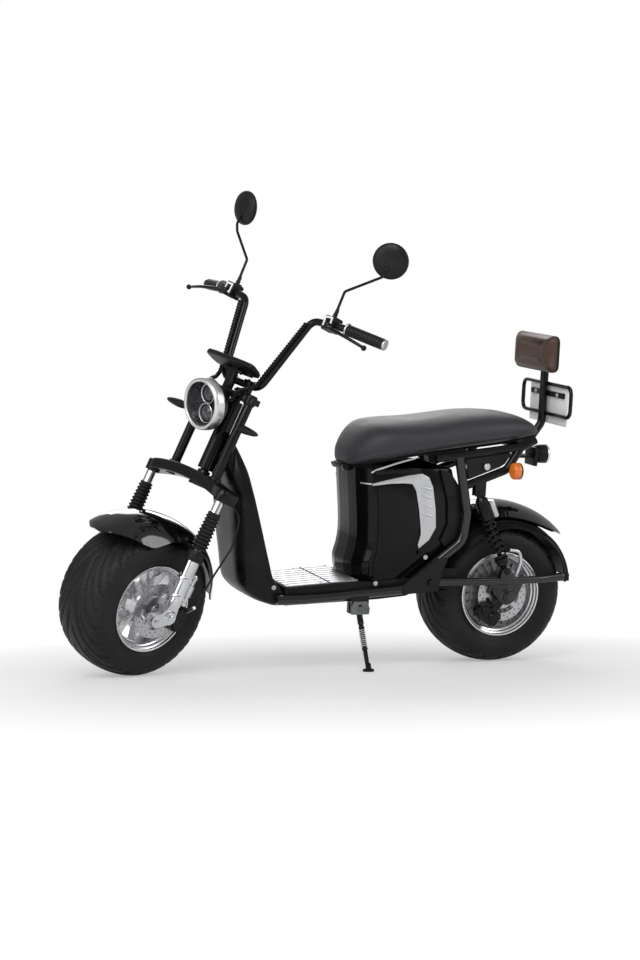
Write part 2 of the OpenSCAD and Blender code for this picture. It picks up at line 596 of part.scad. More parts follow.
module fork_tubes() color("#c4c7ca") on_fork() both_sides()
    translate([fork_x, fork_y, leg_top + seat_gap]) cylinder(r = stanchion_r, h = yoke_h + 5 - leg_top);
bellow_n = 11;
bellow_low = 206;
bellow_high = yoke_h - 44;
module fork_bellows() color("#0f0f10") on_fork() both_sides() translate([fork_x, fork_y, 0])
    rotate_extrude() polygon(concat([[stanchion_r + 0.2, bellow_low]],
        [for (i = [0:2 * bellow_n]) [(i % 2 == 0 ? 19 : 25) - 3 * i / (2 * bellow_n),
            bellow_low + (bellow_high - bellow_low) * i / (2 * bellow_n)]],
        [[stanchion_r + 0.2, bellow_high]]));
module fork_legs() color("#b9bdc1") at_front_axle() {
    both_sides() translate([fork_x - fork_offset, fork_y, 0]) {
        cylinder(r = leg_r, h = leg_top);
        difference() {
            translate([0, 0, leg_top]) cylinder(r = 27, h = bellow_low - leg_top - seat_gap);
            translate([0, 0, leg_top - 1]) cylinder(r = stanchion_r + 0.2, h = 50);
        }
        for (z = [52, 118]) translate([0, 0, z]) cylinder(r = leg_r + 4, h = 10);
    }
    both_sides() {
        bar_y(19, fork_y - 18, fork_y + 14);
        plate_y([[0, 26], [-14, 8], [-8, -17], [30, -38], [52, -34], [60, -22], [54, -6], [22, 30]],
            fork_y + 2, fork_y + 16);
        bar_y(14, hub_half + 4.6, fork_y - 17);
        bar_y(13, fork_y + 13, fork_y + 20);
    }
    bar_y(axle_r, -fork_y, fork_y);
}
front_rows = [[31, 22, 286, 3], [36, 62, 284, 14], [42, 89, 281, 36], [50, 103, 277, 66], [58, 108, 271, 77],
    [68, 110, 265, 68], [80, 110, 260, 52], [95, 110, 257, 44], [110, 110, 256, 40], [125, 110, 256, 42],
    [140, 110, 256, 50], [150, 104, 256, 54], [157, 90, 256, 40]];
module front_fender() color("#0b0b0d") at_front_axle() {
    guard(front_rows, guard_t);
    both_sides() translate([fork_x - fork_offset - 10, 104, 200])
        cube([20, fork_y - 27 - seat_gap - 104, 22]);
}
front_disc_y = 108;
module front_brake() color("#1a1b1c") at_front_axle() {
    caliper(front_disc_y - 12, 132, front_disc_y - 1.5, front_disc_y + disc_t + 1.5, 72, 178);
    difference() {
        rotate([0, -178, 0]) translate([-12, 130, -18]) cube([84, fork_y - leg_r - seat_gap - 130, 36]);
        bar_y(14.3, 125, 140);
    }
}

// Headlamp: bowl with its ring and two projectors, behind a round glass
lamp_r = lamp_d / 2;
lamp_x = 118;
lamp_h = 590;
module at_lamp() on_fork() translate([lamp_x, 0, lamp_h]) rotate([0, rake, 0]) rotate([0, 90, 0])
    children();
module headlamp() color("#202124") {
    at_lamp() {
        rotate_extrude() polygon([[0, -70], [34, -66], [54, -54], [66, -40], [lamp_r - 8, -26],
            [lamp_r - 8, -18], [lamp_r, -16], [lamp_r, 2], [lamp_r - 4, 6], [lamp_r - 11, 6],
            [lamp_r - 11, -12], [60, -32], [44, -46], [0, -52]]);
        for (x = [-29, 29]) translate([x, 0, -50]) cylinder(r = 24, h = 32);
    }
    on_fork() translate([42, -18, lamp_h + 32]) cube([24, 36, crown_h - lamp_h - 32 - seat_gap]);
}
module headlamp_glass() color("#aab4bd") at_lamp() translate([0, 0, -6])
    cylinder(r = lamp_r - 11 - seat_gap, h = 5);
// Rows of a front indicator: y, x at the middle, half depth, half height
blinker_rows = [[outer_y + outer_r + seat_gap, 34, 6, 5], [118, 46, 8, 7], [140, 64, 15, 12], [175, 64, 13, 10], [200, 62, 7, 5],
    [206, 61, 2, 2]];
blinker_h = 570;
module front_indicators() color("#2a2b2e") on_fork() both_sides() {
    loft([for (r = blinker_rows) [for (j = [0:9]) [r[1] + r[2] * cos(36 * j), r[0], blinker_h + r[3] * sin(36 * j)]]]);
}

// Dash on a bracket over the upper yoke
dash_tilt = 18;
module dash() color("#17181a") on_fork() {
    translate([60, 0, 733]) rotate([0, -dash_tilt, 0]) translate([-36, 0, -7]) linear_extrude(14)
        polygon([[0, -56], [10, -62], [14, -92], [34, -102], [62, -104], [72, -96], [76, -60], [76, 60],
            [72, 96], [62, 104], [34, 102], [14, 92], [10, 62], [0, 56]]);
    translate([47, -14, crown_h + 18.3]) cube([14, 28, 60]);
}

// Handlebar and what is on it
bar_pts = [[10, 0, bar_z], [10, 80, bar_z], [-8, 147, 936], [-14, 262, bar_h], [-62, 383, bar_h]];
function mirrored(pts) = [for (p = pts) [p[0], -p[1], p[2]]];
module handlebar() color("#141416") on_fork()
    pipe(concat([for (i = [4:-1:1]) mirrored(bar_pts)[i]], [for (i = [1:4]) bar_pts[i]]), bar_d, 38);
grip_dir = unit(bar_pts[4] - bar_pts[3]);
grip_r = 16.5;
grip_l = 122;
// Places what is given on the left grip, with z running outward along it
module at_grip() placed(bar_pts[4] - grip_dir * (grip_l - 6), unit(cross([0, 0, 1], grip_dir)), grip_dir)
    children();
module grips() color("#121213") on_fork() both_sides() at_grip() difference() {
    union() {
        cylinder(r = grip_r, h = grip_l);
        cylinder(r = grip_r + 4, h = 5);
        translate([0, 0, grip_l]) cylinder(r = grip_r - 1, h = 7);
    }
    translate([0, 0, -1]) cylinder(r = bar_d / 2 + 0.15, h = grip_l - 4);
}
box_dir = unit(bar_pts[3] - bar_pts[2]);
module at_box() placed(bar_pts[3] - box_dir * 62, unit(cross([0, 0, 1], box_dir)), box_dir) children();
module controls() color("#1a1b1d") on_fork() both_sides() {
    difference() {
        at_box() translate([-20, -20, 0]) cube([42, 44, 40]);
        at_box() translate([0, 0, -1]) cylinder(r = bar_d / 2 + 0.15, h = 60);
        placed(stem_pts[0] - stem_way * 0.3, unit(cross([0, 1, 0], stem_way)), stem_way)
            cylinder(r = 4.15, h = 60);
    }
    pipe([[12, 226, 932], [28, 262, 926], [4, 392, 908]], 11, 30);
}
// Centre of a mirror, its turn to the left on each side, and the bends of its stem
mirror_c = [-16, 327, 1178];
mirror_turns = [[1, 36], [-1, 4]];
stem_pts = [[-14, 216, 956], [-10, 216, 1044], [-20, 320, 1118], mirror_c + [-4, 0, -36], mirror_c + [-2, 0, -10]];
stem_way = unit(stem_pts[1] - stem_pts[0]);
module mirrors() color("#16171a") on_fork() for (t = mirror_turns) mirror([0, (1 - t[0]) / 2, 0]) {
    pipe(stem_pts, 8, 12);
    translate(mirror_c) rotate([0, 90, t[0] * t[1]]) rotate_extrude() polygon([[0, -6], [mirror_d / 2 - 4, -6],
        [mirror_d / 2, -3], [mirror_d / 2 - 2, 4], [mirror_d / 3, 11], [0, 15]]);
}
// Wiring loom and brake hose, each along its own side of the handlebar
module cables() color("#0e0e0f") on_fork() {
    both_sides() pipe([[11, 147, 921], [27.8, 82, 702], [42, 74, 683], [68, 66, 669], [70, 53, 630]], 12, 14);
    pipe([[-3.4, 130, yoke_h + 14], [-40, 176, yoke_h - 30], [-46, 186, 250], [-30, 182, 160],
        [-14, 181, 60], [-36, 135.3, 30]], 6, 24);
}

// Wheels
tyre_pts = concat([for (p = tyre_half) if (p[1] > rim_d / 2 + 4) p],
    [[rim_w / 2 + 2, rim_d / 2 + 3], [rim_w / 2 - 6.3, rim_d / 2 + 0.6], [rim_w / 2 - 6.3, bead_r + seat_gap]]);
module tyre() rotate([90, 0, 0]) rotate_extrude() polygon(concat(
    [for (p = reversed(tyre_pts)) [p[1], -p[0]]], [for (i = [1:len(tyre_pts) - 1])
        [tyre_pts[i][1], tyre_pts[i][0]]]));
module front_tyre() color("#1c1c1d") at_front_axle() tyre();
module rear_tyre() color("#1c1c1d") at_rear_axle() tyre();
module barrel() rotate([90, 0, 0]) rotate_extrude() {
    flange = rim_w / 2;
    polygon([[rim_d / 2, -flange], [rim_d / 2, 6 - flange], [bead_r, 6 - flange], [bead_r, flange - 6],
        [rim_d / 2, flange - 6], [rim_d / 2, flange], [rim_d / 2 - 5, flange], [bead_r - 5, flange - 4],
        [bead_r - 9, flange - 24], [bead_r - 9, 24 - flange], [bead_r - 5, 4 - flange],
        [rim_d / 2 - 5, -flange]]);
}
module front_rim() color("#c9ccd0") at_front_axle() difference() {
    union() {
        barrel();
        bar_y(hub_r, -60, 80);
        bar_y(22, -hub_half - 4, hub_half + 4);
        bar_y(40, 92, front_disc_y - seat_gap);
        bar_y(34, 60, 100);
        for (i = [0:spokes - 1]) rotate([0, 360 * i / spokes, 0]) plate_y([[24, -16], [70, -11],
            [bead_r - 6, -30], [bead_r - 6, -8], [84, 4], [bead_r - 6, 14], [bead_r - 8, 32],
            [66, 17], [24, 18]], 10, 46);
    }
    bar_y(axle_r + run_gap, -200, 200);
}
disc_holes = 20;
module disc(y) difference() {
    union() {
        difference() {
            bar_y(disc_r, y, y + disc_t);
            bar_y(disc_r - 24, y - 1, y + disc_t + 1);
        }
        for (i = [0:4]) rotate([0, 72 * i, 0]) translate([34, y, -7]) cube([28, disc_t, 14]);
        bar_y(42, y, y + disc_t);
    }
    bar_y(24, y - 1, y + disc_t + 1);
    for (i = [0:disc_holes - 1], k = [0, 1]) rotate([0, (i + k / 2) * 360 / disc_holes, 0])
        translate([disc_r - 6 - 10 * k, 0, 0]) bar_y(2.4, y - 1, y + disc_t + 1);
}
module front_disc() color("#b4b7ba") at_front_axle() disc(front_disc_y);
rear_fins = 16;
module rear_rim() color("#c2c5c9") at_rear_axle() difference() {
    union() {
        barrel();
        bar_y(bead_r - 7, -62, 62);
        bar_y(48, -80, 80);
        bar_y(40, 78, disc_y - seat_gap);
        bar_y(22, -hub_half, hub_half);
        for (i = [0:rear_fins - 1]) rotate([0, 360 * i / rear_fins, 0])
            translate([46, -70, -2.5]) cube([54, 140, 5]);
    }
    bar_y(axle_r + run_gap, -200, 200);
}
module rear_disc() color("#b4b7ba") at_rear_axle() disc(disc_y);

frame();
leg_shield();
floor_tray();
floor_board();
body_front();
body_back();
side_panels();
side_trims();
battery();
tail_panels();
swingarm();
rear_shocks();
rear_springs();
rear_brake();
rear_fender();
wheel_hugger();
tail_lamp();
rear_indicators();
rack();
backrest();
backrest_shell();
number_plate();
seat_pan();
seat_cushion();
side_stand();
yokes();
fork_tubes();
fork_bellows();
fork_legs();
front_fender();
front_brake();
headlamp();
headlamp_glass();
front_indicators();
dash();
handlebar();
grips();
controls();
mirrors();
cables();
front_tyre();
front_rim();
front_disc();
rear_tyre();
rear_rim();
rear_disc();
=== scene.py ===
import bpy
import bmesh
import json
import random
from math import cos, sin, radians, pi, sqrt, atan2, tau
from mathutils import Matrix, Vector

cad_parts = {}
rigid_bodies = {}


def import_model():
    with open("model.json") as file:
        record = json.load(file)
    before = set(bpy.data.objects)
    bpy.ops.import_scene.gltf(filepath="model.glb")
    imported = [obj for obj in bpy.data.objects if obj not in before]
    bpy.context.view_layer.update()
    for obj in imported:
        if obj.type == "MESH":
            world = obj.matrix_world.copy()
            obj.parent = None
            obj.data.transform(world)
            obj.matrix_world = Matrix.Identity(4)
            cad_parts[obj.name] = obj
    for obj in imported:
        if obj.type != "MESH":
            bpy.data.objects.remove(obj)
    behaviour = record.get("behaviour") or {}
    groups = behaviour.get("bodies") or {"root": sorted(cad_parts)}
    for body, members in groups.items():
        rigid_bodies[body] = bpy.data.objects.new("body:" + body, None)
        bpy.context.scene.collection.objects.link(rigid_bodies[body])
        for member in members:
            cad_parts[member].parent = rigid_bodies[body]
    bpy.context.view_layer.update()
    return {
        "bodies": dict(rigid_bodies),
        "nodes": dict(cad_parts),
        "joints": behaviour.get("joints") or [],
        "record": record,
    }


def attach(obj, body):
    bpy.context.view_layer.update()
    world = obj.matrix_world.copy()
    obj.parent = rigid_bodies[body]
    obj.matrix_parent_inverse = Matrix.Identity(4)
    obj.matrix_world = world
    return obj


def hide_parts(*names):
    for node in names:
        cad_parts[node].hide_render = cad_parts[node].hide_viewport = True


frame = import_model()
nodes = frame["nodes"]
print("frame loaded:", len(nodes), "nodes")

# The stance of the scooter, as the CAD source has it, in millimetres and degrees
stance = {
    "wheelbase": 1140, "lean": 7, "steer": 23, "rake": 23, "forkOffset": 50, "axleHeight": 225,
    "pitch": -0.2351128, "lift": -5.033881, "originX": 551.3, "originY": 114.7,
}
footX = stance["wheelbase"] - stance["forkOffset"] * cos(radians(stance["rake"]))
footZ = stance["axleHeight"] - stance["forkOffset"] * sin(radians(stance["rake"]))


def turn(degrees, axis):
    return Matrix.Rotation(radians(degrees), 4, axis)


def move(x, y, z):
    return Matrix.Translation((x, y, z))


# upright: x forward of the rear axle, y left, z up from the rear tyre's contact, in millimetres
parked = (Matrix.Scale(0.001, 4) @ move(-stance["originX"], -stance["originY"], stance["lift"])
          @ turn(stance["pitch"], "Y") @ turn(-stance["lean"], "X"))
# on the fork: z up along the steering axis, x forward, turned with the steering
onFork = parked @ move(footX, 0, footZ) @ turn(-stance["rake"], "Y") @ turn(stance["steer"], "Z")
frontAxle = onFork @ move(stance["forkOffset"], 0, 0)
rearAxle = parked @ move(0, 0, stance["axleHeight"])


# Shader tools: a Wire is a socket that takes sums, and a Finish is one material

class Wire:
    def __init__(self, finish, socket):
        self.finish, self.socket = finish, socket

    def join(self, operation, a, b=0.0):
        return self.finish.node("ShaderNodeMath", {"operation": operation}, {0: a, 1: b})

    def __add__(self, other):
        return self.join("ADD", self, other)

    def __radd__(self, other):
        return self.join("ADD", other, self)

    def __sub__(self, other):
        return self.join("SUBTRACT", self, other)

    def __rsub__(self, other):
        return self.join("SUBTRACT", other, self)

    def __mul__(self, other):
        return self.join("MULTIPLY", self, other)

    def __rmul__(self, other):
        return self.join("MULTIPLY", other, self)

    def __pow__(self, other):
        return self.join("POWER", self, other)

    def sine(self):
        return self.join("SINE", self)

    def size(self):
        return self.join("ABSOLUTE", self)

    def span(self, a, b, low=0.0, high=1.0):
        return self.finish.node("ShaderNodeMapRange", {}, {
            "Value": self, "From Min": a, "From Max": b, "To Min": low, "To Max": high})


class Finish:
    outputs = {"colour": "Base Color", "rough": "Roughness", "metal": "Metallic", "normal": "Normal",
               "coat": "Coat Weight", "coatRough": "Coat Roughness", "glow": "Emission Color",
               "glowPower": "Emission Strength", "specular": "Specular IOR Level", "alpha": "Alpha",
               "sheen": "Sheen Weight", "sheenRough": "Sheen Roughness", "passing": "Transmission Weight"}

    def __init__(self, name):
        self.material = bpy.data.materials.new(name)
        self.material.use_nodes = True
        self.tree = self.material.node_tree
        self.tree.nodes.clear()

    def node(self, kind, settings, sockets, out=0):
        made = self.tree.nodes.new(kind)
        for key, value in settings.items():
            if key == "stops":
                for extra in value[2:]:
                    made.color_ramp.elements.new(0.5)
                for element, (at, colour) in zip(made.color_ramp.elements, value):
                    element.position, element.color = at, (*colour, 1)
            else:
                setattr(made, key, value)
        for key, value in sockets.items():
            if isinstance(value, Wire):
                self.tree.links.new(value.socket, made.inputs[key])
            elif isinstance(value, tuple) and made.inputs[key].type == "RGBA":
                made.inputs[key].default_value = (*value, 1)
            else:
                made.inputs[key].default_value = value
        return None if out is None else Wire(self, made.outputs[out])

    def place(self, kind="Object"):
        return self.node("ShaderNodeTexCoord", {}, {}, kind)

    def along(self, axis, place=None):
        return self.node("ShaderNodeSeparateXYZ", {}, {0: place or self.place()}, axis)

    def noise(self, scale, detail=3.0, rough=0.5, stretch=None, place=None):
        place = place or self.place()
        if stretch:
            place = self.node("ShaderNodeMapping", {}, {"Vector": place, "Scale": stretch})
        return self.node("ShaderNodeTexNoise", {}, {
            "Vector": place, "Scale": scale, "Detail": detail, "Roughness": rough})

    def cells(self, scale, feature="F1"):
        return self.node("ShaderNodeTexVoronoi", {"feature": feature}, {"Vector": self.place(), "Scale": scale})

    def mix(self, a, b, share):
        return self.node("ShaderNodeMix", {"data_type": "RGBA"}, {0: share, 6: a, 7: b}, 2)

    def bump(self, height, strength, distance, onto=None):
        sockets = {"Height": height, "Strength": strength, "Distance": distance}
        if onto:
            sockets["Normal"] = onto
        return self.node("ShaderNodeBump", {}, sockets)

    def done(self, **surface):
        shader = self.node("ShaderNodeBsdfPrincipled", {}, {self.outputs[k]: v for k, v in surface.items()})
        self.node("ShaderNodeOutputMaterial", {}, {"Surface": shader}, None)
        return self.material


# Finishes

def paintFinish(name, colour, rough, coat, dust=0.012, shine=0.2):
    f = Finish(name)
    cloud = f.noise(9, 4)
    speck = f.noise(900, 2)
    worn = (cloud * 0.7 + speck * 0.3).span(0.35, 0.7)
    tone = f.mix(colour, tuple(c + dust for c in colour), worn)
    return f.done(colour=tone, rough=worn.span(0, 1, rough - 0.03, rough + 0.07), coat=coat, coatRough=0.05, specular=shine,
                  normal=f.bump(speck, 0.05, 0.0002))


def plasticFinish(name, colour, rough, grain=1400, depth=0.25):
    f = Finish(name)
    cloud = f.noise(14, 4)
    pits = f.cells(grain)
    tone = f.mix(colour, tuple(c * 1.5 + 0.006 for c in colour), cloud.span(0.35, 0.7))
    return f.done(colour=tone, rough=cloud.span(0.3, 0.7, rough - 0.05, rough + 0.06), specular=0.2,
                  normal=f.bump(pits, depth, 0.0004))


def metalFinish(name, colour, rough, stretch=(1, 1, 1), scale=260, dull=0.06):
    f = Finish(name)
    lines = f.noise(scale, 3, 0.6, stretch)
    cloud = f.noise(11, 4)
    shade = (lines * 0.5 + cloud * 0.5).span(0.35, 0.68)
    tone = f.mix(colour, tuple(c * 0.78 for c in colour), shade)
    return f.done(colour=tone, metal=1.0, rough=shade.span(0, 1, rough, rough + dull),
                  normal=f.bump(lines, 0.06, 0.0002))


def rubberFinish(name, colour, rough, scale=500):
    f = Finish(name)
    fine = f.noise(scale, 4, 0.6)
    cloud = f.noise(7, 4)
    tone = f.mix(colour, tuple(c * 1.7 + 0.008 for c in colour), (fine * 0.4 + cloud * 0.6).span(0.4, 0.7))
    return f.done(colour=tone, rough=cloud.span(0.3, 0.7, rough - 0.06, rough + 0.05), specular=0.25,
                  normal=f.bump(fine, 0.25, 0.0006))


def leatherFinish(name, colour, rough, scale=420):
    f = Finish(name)
    pebbles = f.cells(scale, "DISTANCE_TO_EDGE").span(0, 0.35)
    creases = f.noise(60, 5, 0.6)
    cloud = f.noise(6, 4)
    tone = f.mix(colour, tuple(c * 1.55 + 0.006 for c in colour), (pebbles * 0.5 + cloud * 0.5).span(0.3, 0.75))
    relief = f.bump(pebbles, 0.35, 0.0005, f.bump(creases, 0.12, 0.002))
    return f.done(colour=tone, rough=(pebbles * 0.6 + cloud * 0.4).span(0.2, 0.8, rough + 0.08, rough - 0.06),
                  normal=relief, sheen=0.08, sheenRough=0.4)


def glowFinish(name, colour, power, rough=0.15):
    f = Finish(name)
    facets = f.cells(230, "DISTANCE_TO_EDGE").span(0, 0.3)
    tone = f.mix(tuple(c * 0.55 for c in colour), colour, facets)
    return f.done(colour=tone, rough=rough, coat=0.8, glow=tone, glowPower=power,
                  normal=f.bump(facets, 0.3, 0.0008))


def glossyLens(name, colour):
    f = Finish(name)
    cloud = f.noise(40, 2)
    return f.done(colour=f.mix(colour, tuple(c * 2 for c in colour), cloud.span(0.3, 0.7)), rough=0.04, coat=1.0,
                  specular=0.7)


finishes = {
    "frameBlack": paintFinish("frameBlack", (0.004, 0.004, 0.0045), 0.22, 0.14, 0.004),
    "glossBlack": paintFinish("glossBlack", (0.0028, 0.0028, 0.003), 0.11, 0.16, 0.002, 0.14),
    "tubeBlack": paintFinish("tubeBlack", (0.004, 0.004, 0.0048), 0.17, 0.5, 0.004, 0.45),
    "fenderBlack": paintFinish("fenderBlack", (0.0035, 0.0035, 0.0045), 0.08, 0.8, 0.002, 0.4),
    "plasticBlack": plasticFinish("plasticBlack", (0.006, 0.006, 0.0065), 0.4),
    "shieldBlack": plasticFinish("shieldBlack", (0.003, 0.003, 0.0034), 0.27, depth=0.08),
    "loomBlack": plasticFinish("loomBlack", (0.008, 0.008, 0.009), 0.26, depth=0.05),
    "trimSilver": metalFinish("trimSilver", (0.74, 0.75, 0.77), 0.3),
    "deckMetal": metalFinish("deckMetal", (0.6, 0.6, 0.62), 0.4, (0.08, 1, 1), 70, 0.04),
    "rimMetal": metalFinish("rimMetal", (0.88, 0.88, 0.9), 0.25),
    "chrome": metalFinish("chrome", (0.82, 0.83, 0.85), 0.08, dull=0.05),
    "discSteel": metalFinish("discSteel", (0.62, 0.62, 0.64), 0.27),
    "tyreRubber": rubberFinish("tyreRubber", (0.0065, 0.0065, 0.007), 0.5),
    "softRubber": rubberFinish("softRubber", (0.008, 0.008, 0.0085), 0.45),
    "seatLeather": leatherFinish("seatLeather", (0.024, 0.0245, 0.029), 0.46),
    "brownLeather": leatherFinish("brownLeather", (0.055, 0.025, 0.016), 0.45),
    "amber": glowFinish("amber", (0.85, 0.2, 0.015), 0.25),
    "redLens": glowFinish("redLens", (0.5, 0.015, 0.01), 0.1),
    "plateWhite": paintFinish("plateWhite", (0.93, 0.93, 0.94), 0.35, 0.3),
    "caseGrey": plasticFinish("caseGrey", (0.12, 0.125, 0.13), 0.5),
    "ringChrome": metalFinish("ringChrome", (0.93, 0.93, 0.94), 0.34, dull=0.04),
    "reflector": metalFinish("reflector", (0.035, 0.036, 0.04), 0.2, dull=0.08),
    "castMetal": metalFinish("castMetal", (0.3, 0.3, 0.31), 0.42, dull=0.14),
    "mirrorGlass": metalFinish("mirrorGlass", (0.7, 0.71, 0.73), 0.02, dull=0.02),
    "lensDark": glossyLens("lensDark", (0.02, 0.022, 0.026)),
}
glass = Finish("clearGlass")
finishes["glass"] = glass.done(colour=(0.05, 0.055, 0.06), rough=glass.noise(20, 3).span(0.3, 0.7, 0.02, 0.05),
                               alpha=0.1, coat=0.3, specular=0.4)

# The finish of each CAD node that stays as it is
nodeFinishes = {
    "frameBlack": ["frame", "swingarm", "rear_shocks", "rear_springs", "rear_brake", "rack", "side_stand", "yokes",
                   "front_brake", "headlamp", "front_indicators", "handlebar"],
    "glossBlack": ["body_front", "side_panels"], "fenderBlack": ["rear_fender", "front_fender"],
    "shieldBlack": ["leg_shield"],
    "plasticBlack": ["floor_tray", "body_back", "tail_panels", "wheel_hugger", "tail_lamp", "backrest_shell",
                     "seat_pan", "dash", "controls", "mirrors"],
    "trimSilver": ["side_trims"], "deckMetal": ["floor_board"], "rimMetal": ["front_rim", "rear_rim"],
    "chrome": ["fork_tubes", "fork_legs"], "discSteel": ["front_disc", "rear_disc"],
    "tyreRubber": ["front_tyre", "rear_tyre"], "softRubber": ["fork_bellows", "grips", "cables"],
    "seatLeather": ["seat_cushion"], "brownLeather": ["backrest"], "amber": ["rear_indicators"],
    "plateWhite": ["number_plate"], "caseGrey": ["battery"], "glass": ["headlamp_glass"],
}
for finishName, names in nodeFinishes.items():
    for name in names:
        held = nodes[name].data.materials
        held.clear()
        held.append(finishes[finishName])
print("finishes made:", len(finishes))


# Shape tools: a Shape gathers rings, tubes and plates of one material, in millimetres of its own space

def between(a, b, share):
    return a + (b - a) * share


def smoothed(rows, steps):
    """rows"""
    last = len(rows) - 1
    made = []
    for i in range(last):
        around = [rows[max(i - 1, 0)], rows[i], rows[i + 1], rows[min(i + 2, last)]]
        for k in range(steps):
            t = k / steps
            made.append([(2 * b + (c - a) * t + (2 * a - 5 * b + 4 * c - d) * t * t
                          + (3 * b - a - 3 * c + d) * t ** 3) / 2 for a, b, c, d in zip(*around)])
    return made + [list(rows[last])]


def rounded(points, bend, steps=6):
    points = [Vector(p) for p in points]
    made = [points[0]]
    for before, here, after in zip(points, points[1:], points[2:]):
        into, out = (here - before).normalized(), (after - here).normalized()
        angle = into.angle(out)
        if angle < 0.02:
            made.append(here)
            continue
        run = min(bend * abs(sin(angle / 2) / cos(angle / 2)), (here - before).length * 0.49, (after - here).length * 0.49)
        for k in range(steps + 1):
            t = k / steps
            a, b = here - into * run * (1 - t), here + out * run * t
            made.append(a.lerp(b, t))
    return made + [points[-1]]


def facing(at, direction, up=(0, 0, 1)):
    z = Vector(direction).normalized()
    x = Vector(up).cross(z)
    if x.length < 0.01:
        x = Vector((1, 0, 0)).cross(z)
    x.normalize()
    y = z.cross(x)
    return Matrix.Translation(at) @ Matrix((x, y, z)).transposed().to_4x4()


def mirrorY(points):
    return [(p[0], -p[1], p[2]) for p in points]


class Shape:
    def __init__(self, name, space):
        self.name, self.space = name, space
        self.mesh = bmesh.new()

    def rings(self, rings, closed=True, caps=True, loop=False):
        held = [[self.mesh.verts.new(self.space @ Vector(p)) for p in ring] for ring in rings]
        count = len(held[0])
        pairs = list(zip(held, held[1:] + ([held[0]] if loop else [])))
        if not loop:
            pairs = list(zip(held, held[1:]))
        for low, high in pairs:
            for j in range(count if closed else count - 1):
                k = (j + 1) % count
                self.mesh.faces.new((low[j], low[k], high[k], high[j]))
        if caps and closed and not loop:
            self.mesh.faces.new(held[0][::-1])
            self.mesh.faces.new(held[-1])
        return held

    def sheet(self, outer, inner):
        rows = [list(a) + list(b)[::-1] for a, b in zip(outer, inner)]
        return self.rings(rows)

    def lathe(self, profile, at=Matrix(), steps=48, closed=False):
        rings = [[at @ Vector((r * cos(tau * j / steps), r * sin(tau * j / steps), h)) for j in range(steps)]
                 for r, h in profile]
        return self.rings(rings, loop=closed, caps=not closed)

    def tube(self, points, radius, bend=0, sides=16, steps=6):
        path = rounded(points, bend, steps) if bend else [Vector(p) for p in points]
        sizes = radius if isinstance(radius, list) else [radius] * len(path)
        if len(sizes) != len(path):
            sizes = [between(sizes[0], sizes[-1], i / (len(path) - 1)) for i in range(len(path))]
        way = (path[1] - path[0]).normalized()
        side = way.orthogonal().normalized()
        rings = []
        for i, point in enumerate(path):
            ahead = (path[min(i + 1, len(path) - 1)] - path[max(i - 1, 0)]).normalized()
            side = (side - ahead * side.dot(ahead)).normalized()
            other = ahead.cross(side)
            rings.append([point + (side * cos(tau * j / sides) + other * sin(tau * j / sides)) * sizes[i]
                          for j in range(sides)])
        return self.rings(rings)

    def prism(self, outline, low, high, at=Matrix()):
        return self.rings([[at @ Vector((p[0], p[1], h)) for p in outline] for h in (low, high)])

    def plateY(self, outline, y0, y1):
        return self.rings([[(p[0], y, p[1]) for p in outline] for y in (y0, y1)])

    def block(self, corner, size):
        x, y, z = corner
        a, b, c = size
        return self.rings([[(x, y, h), (x + a, y, h), (x + a, y + b, h), (x, y + b, h)] for h in (z, z + c)])

    def bolt(self, at, direction, radius=7, high=5, hexed=True):
        place = facing(at, direction)
        self.lathe([(radius * 1.35, 0), (radius * 1.35, 1.2), (radius * 1.1, 1.4)], place, 20)
        if hexed:
            self.lathe([(radius, 1), (radius, high - 1), (radius * 0.86, high)], place, 6)
        else:
            self.lathe([(radius, 1), (radius, high * 0.6), (radius * 0.8, high * 0.92), (radius * 0.45, high),
                        (radius * 0.4, high * 0.5)], place, 20)

    def made(self, body, slot, finish, replaces=(), bevel=0.0, rounds=0, sharp=40, width=2):
        bmesh.ops.recalc_face_normals(self.mesh, faces=self.mesh.faces)
        mesh = bpy.data.meshes.new(self.name)
        self.mesh.to_mesh(mesh)
        self.mesh.free()
        piece = bpy.data.objects.new(self.name, mesh)
        bpy.context.scene.collection.objects.link(piece)
        if bevel:
            edge = piece.modifiers.new("edge", "BEVEL")
            edge.width, edge.segments, edge.limit_method, edge.angle_limit = bevel / 1000, width, "ANGLE", radians(34)
        if rounds:
            soft = piece.modifiers.new("soft", "SUBSURF")
            soft.levels = soft.render_levels = rounds
        if bevel or rounds:
            bpy.context.view_layer.update()
            done = bpy.data.meshes.new_from_object(piece.evaluated_get(bpy.context.evaluated_depsgraph_get()))
            piece.modifiers.clear()
            piece.data = done
        piece.data.shade_smooth()
        piece.data.set_sharp_from_angle(angle=radians(sharp))
        piece.data.materials.clear()
        piece.data.materials.append(finishes[finish])
        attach(piece, body)
        for node in replaces:
            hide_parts(node)
        return piece


# Tyres: the CAD section with cut grooves that sweep from the crown to the shoulder
tyreSizes = {
    "radius": 218, "halfWidth": 101, "bead": 118.3, "steps": 400, "across": 78, "depth": 5.2, "halfGroove": 5.0,
    "grooves": 12, "sweep": 1.15,
    "side": [(0, 1), (0.22, 0.992), (0.42, 0.965), (0.6, 0.925), (0.76, 0.865), (0.88, 0.78), (0.96, 0.665),
             (1, 0.52), (0.99, 0.36), (0.94, 0.2), (0.875, 0.07)],
}


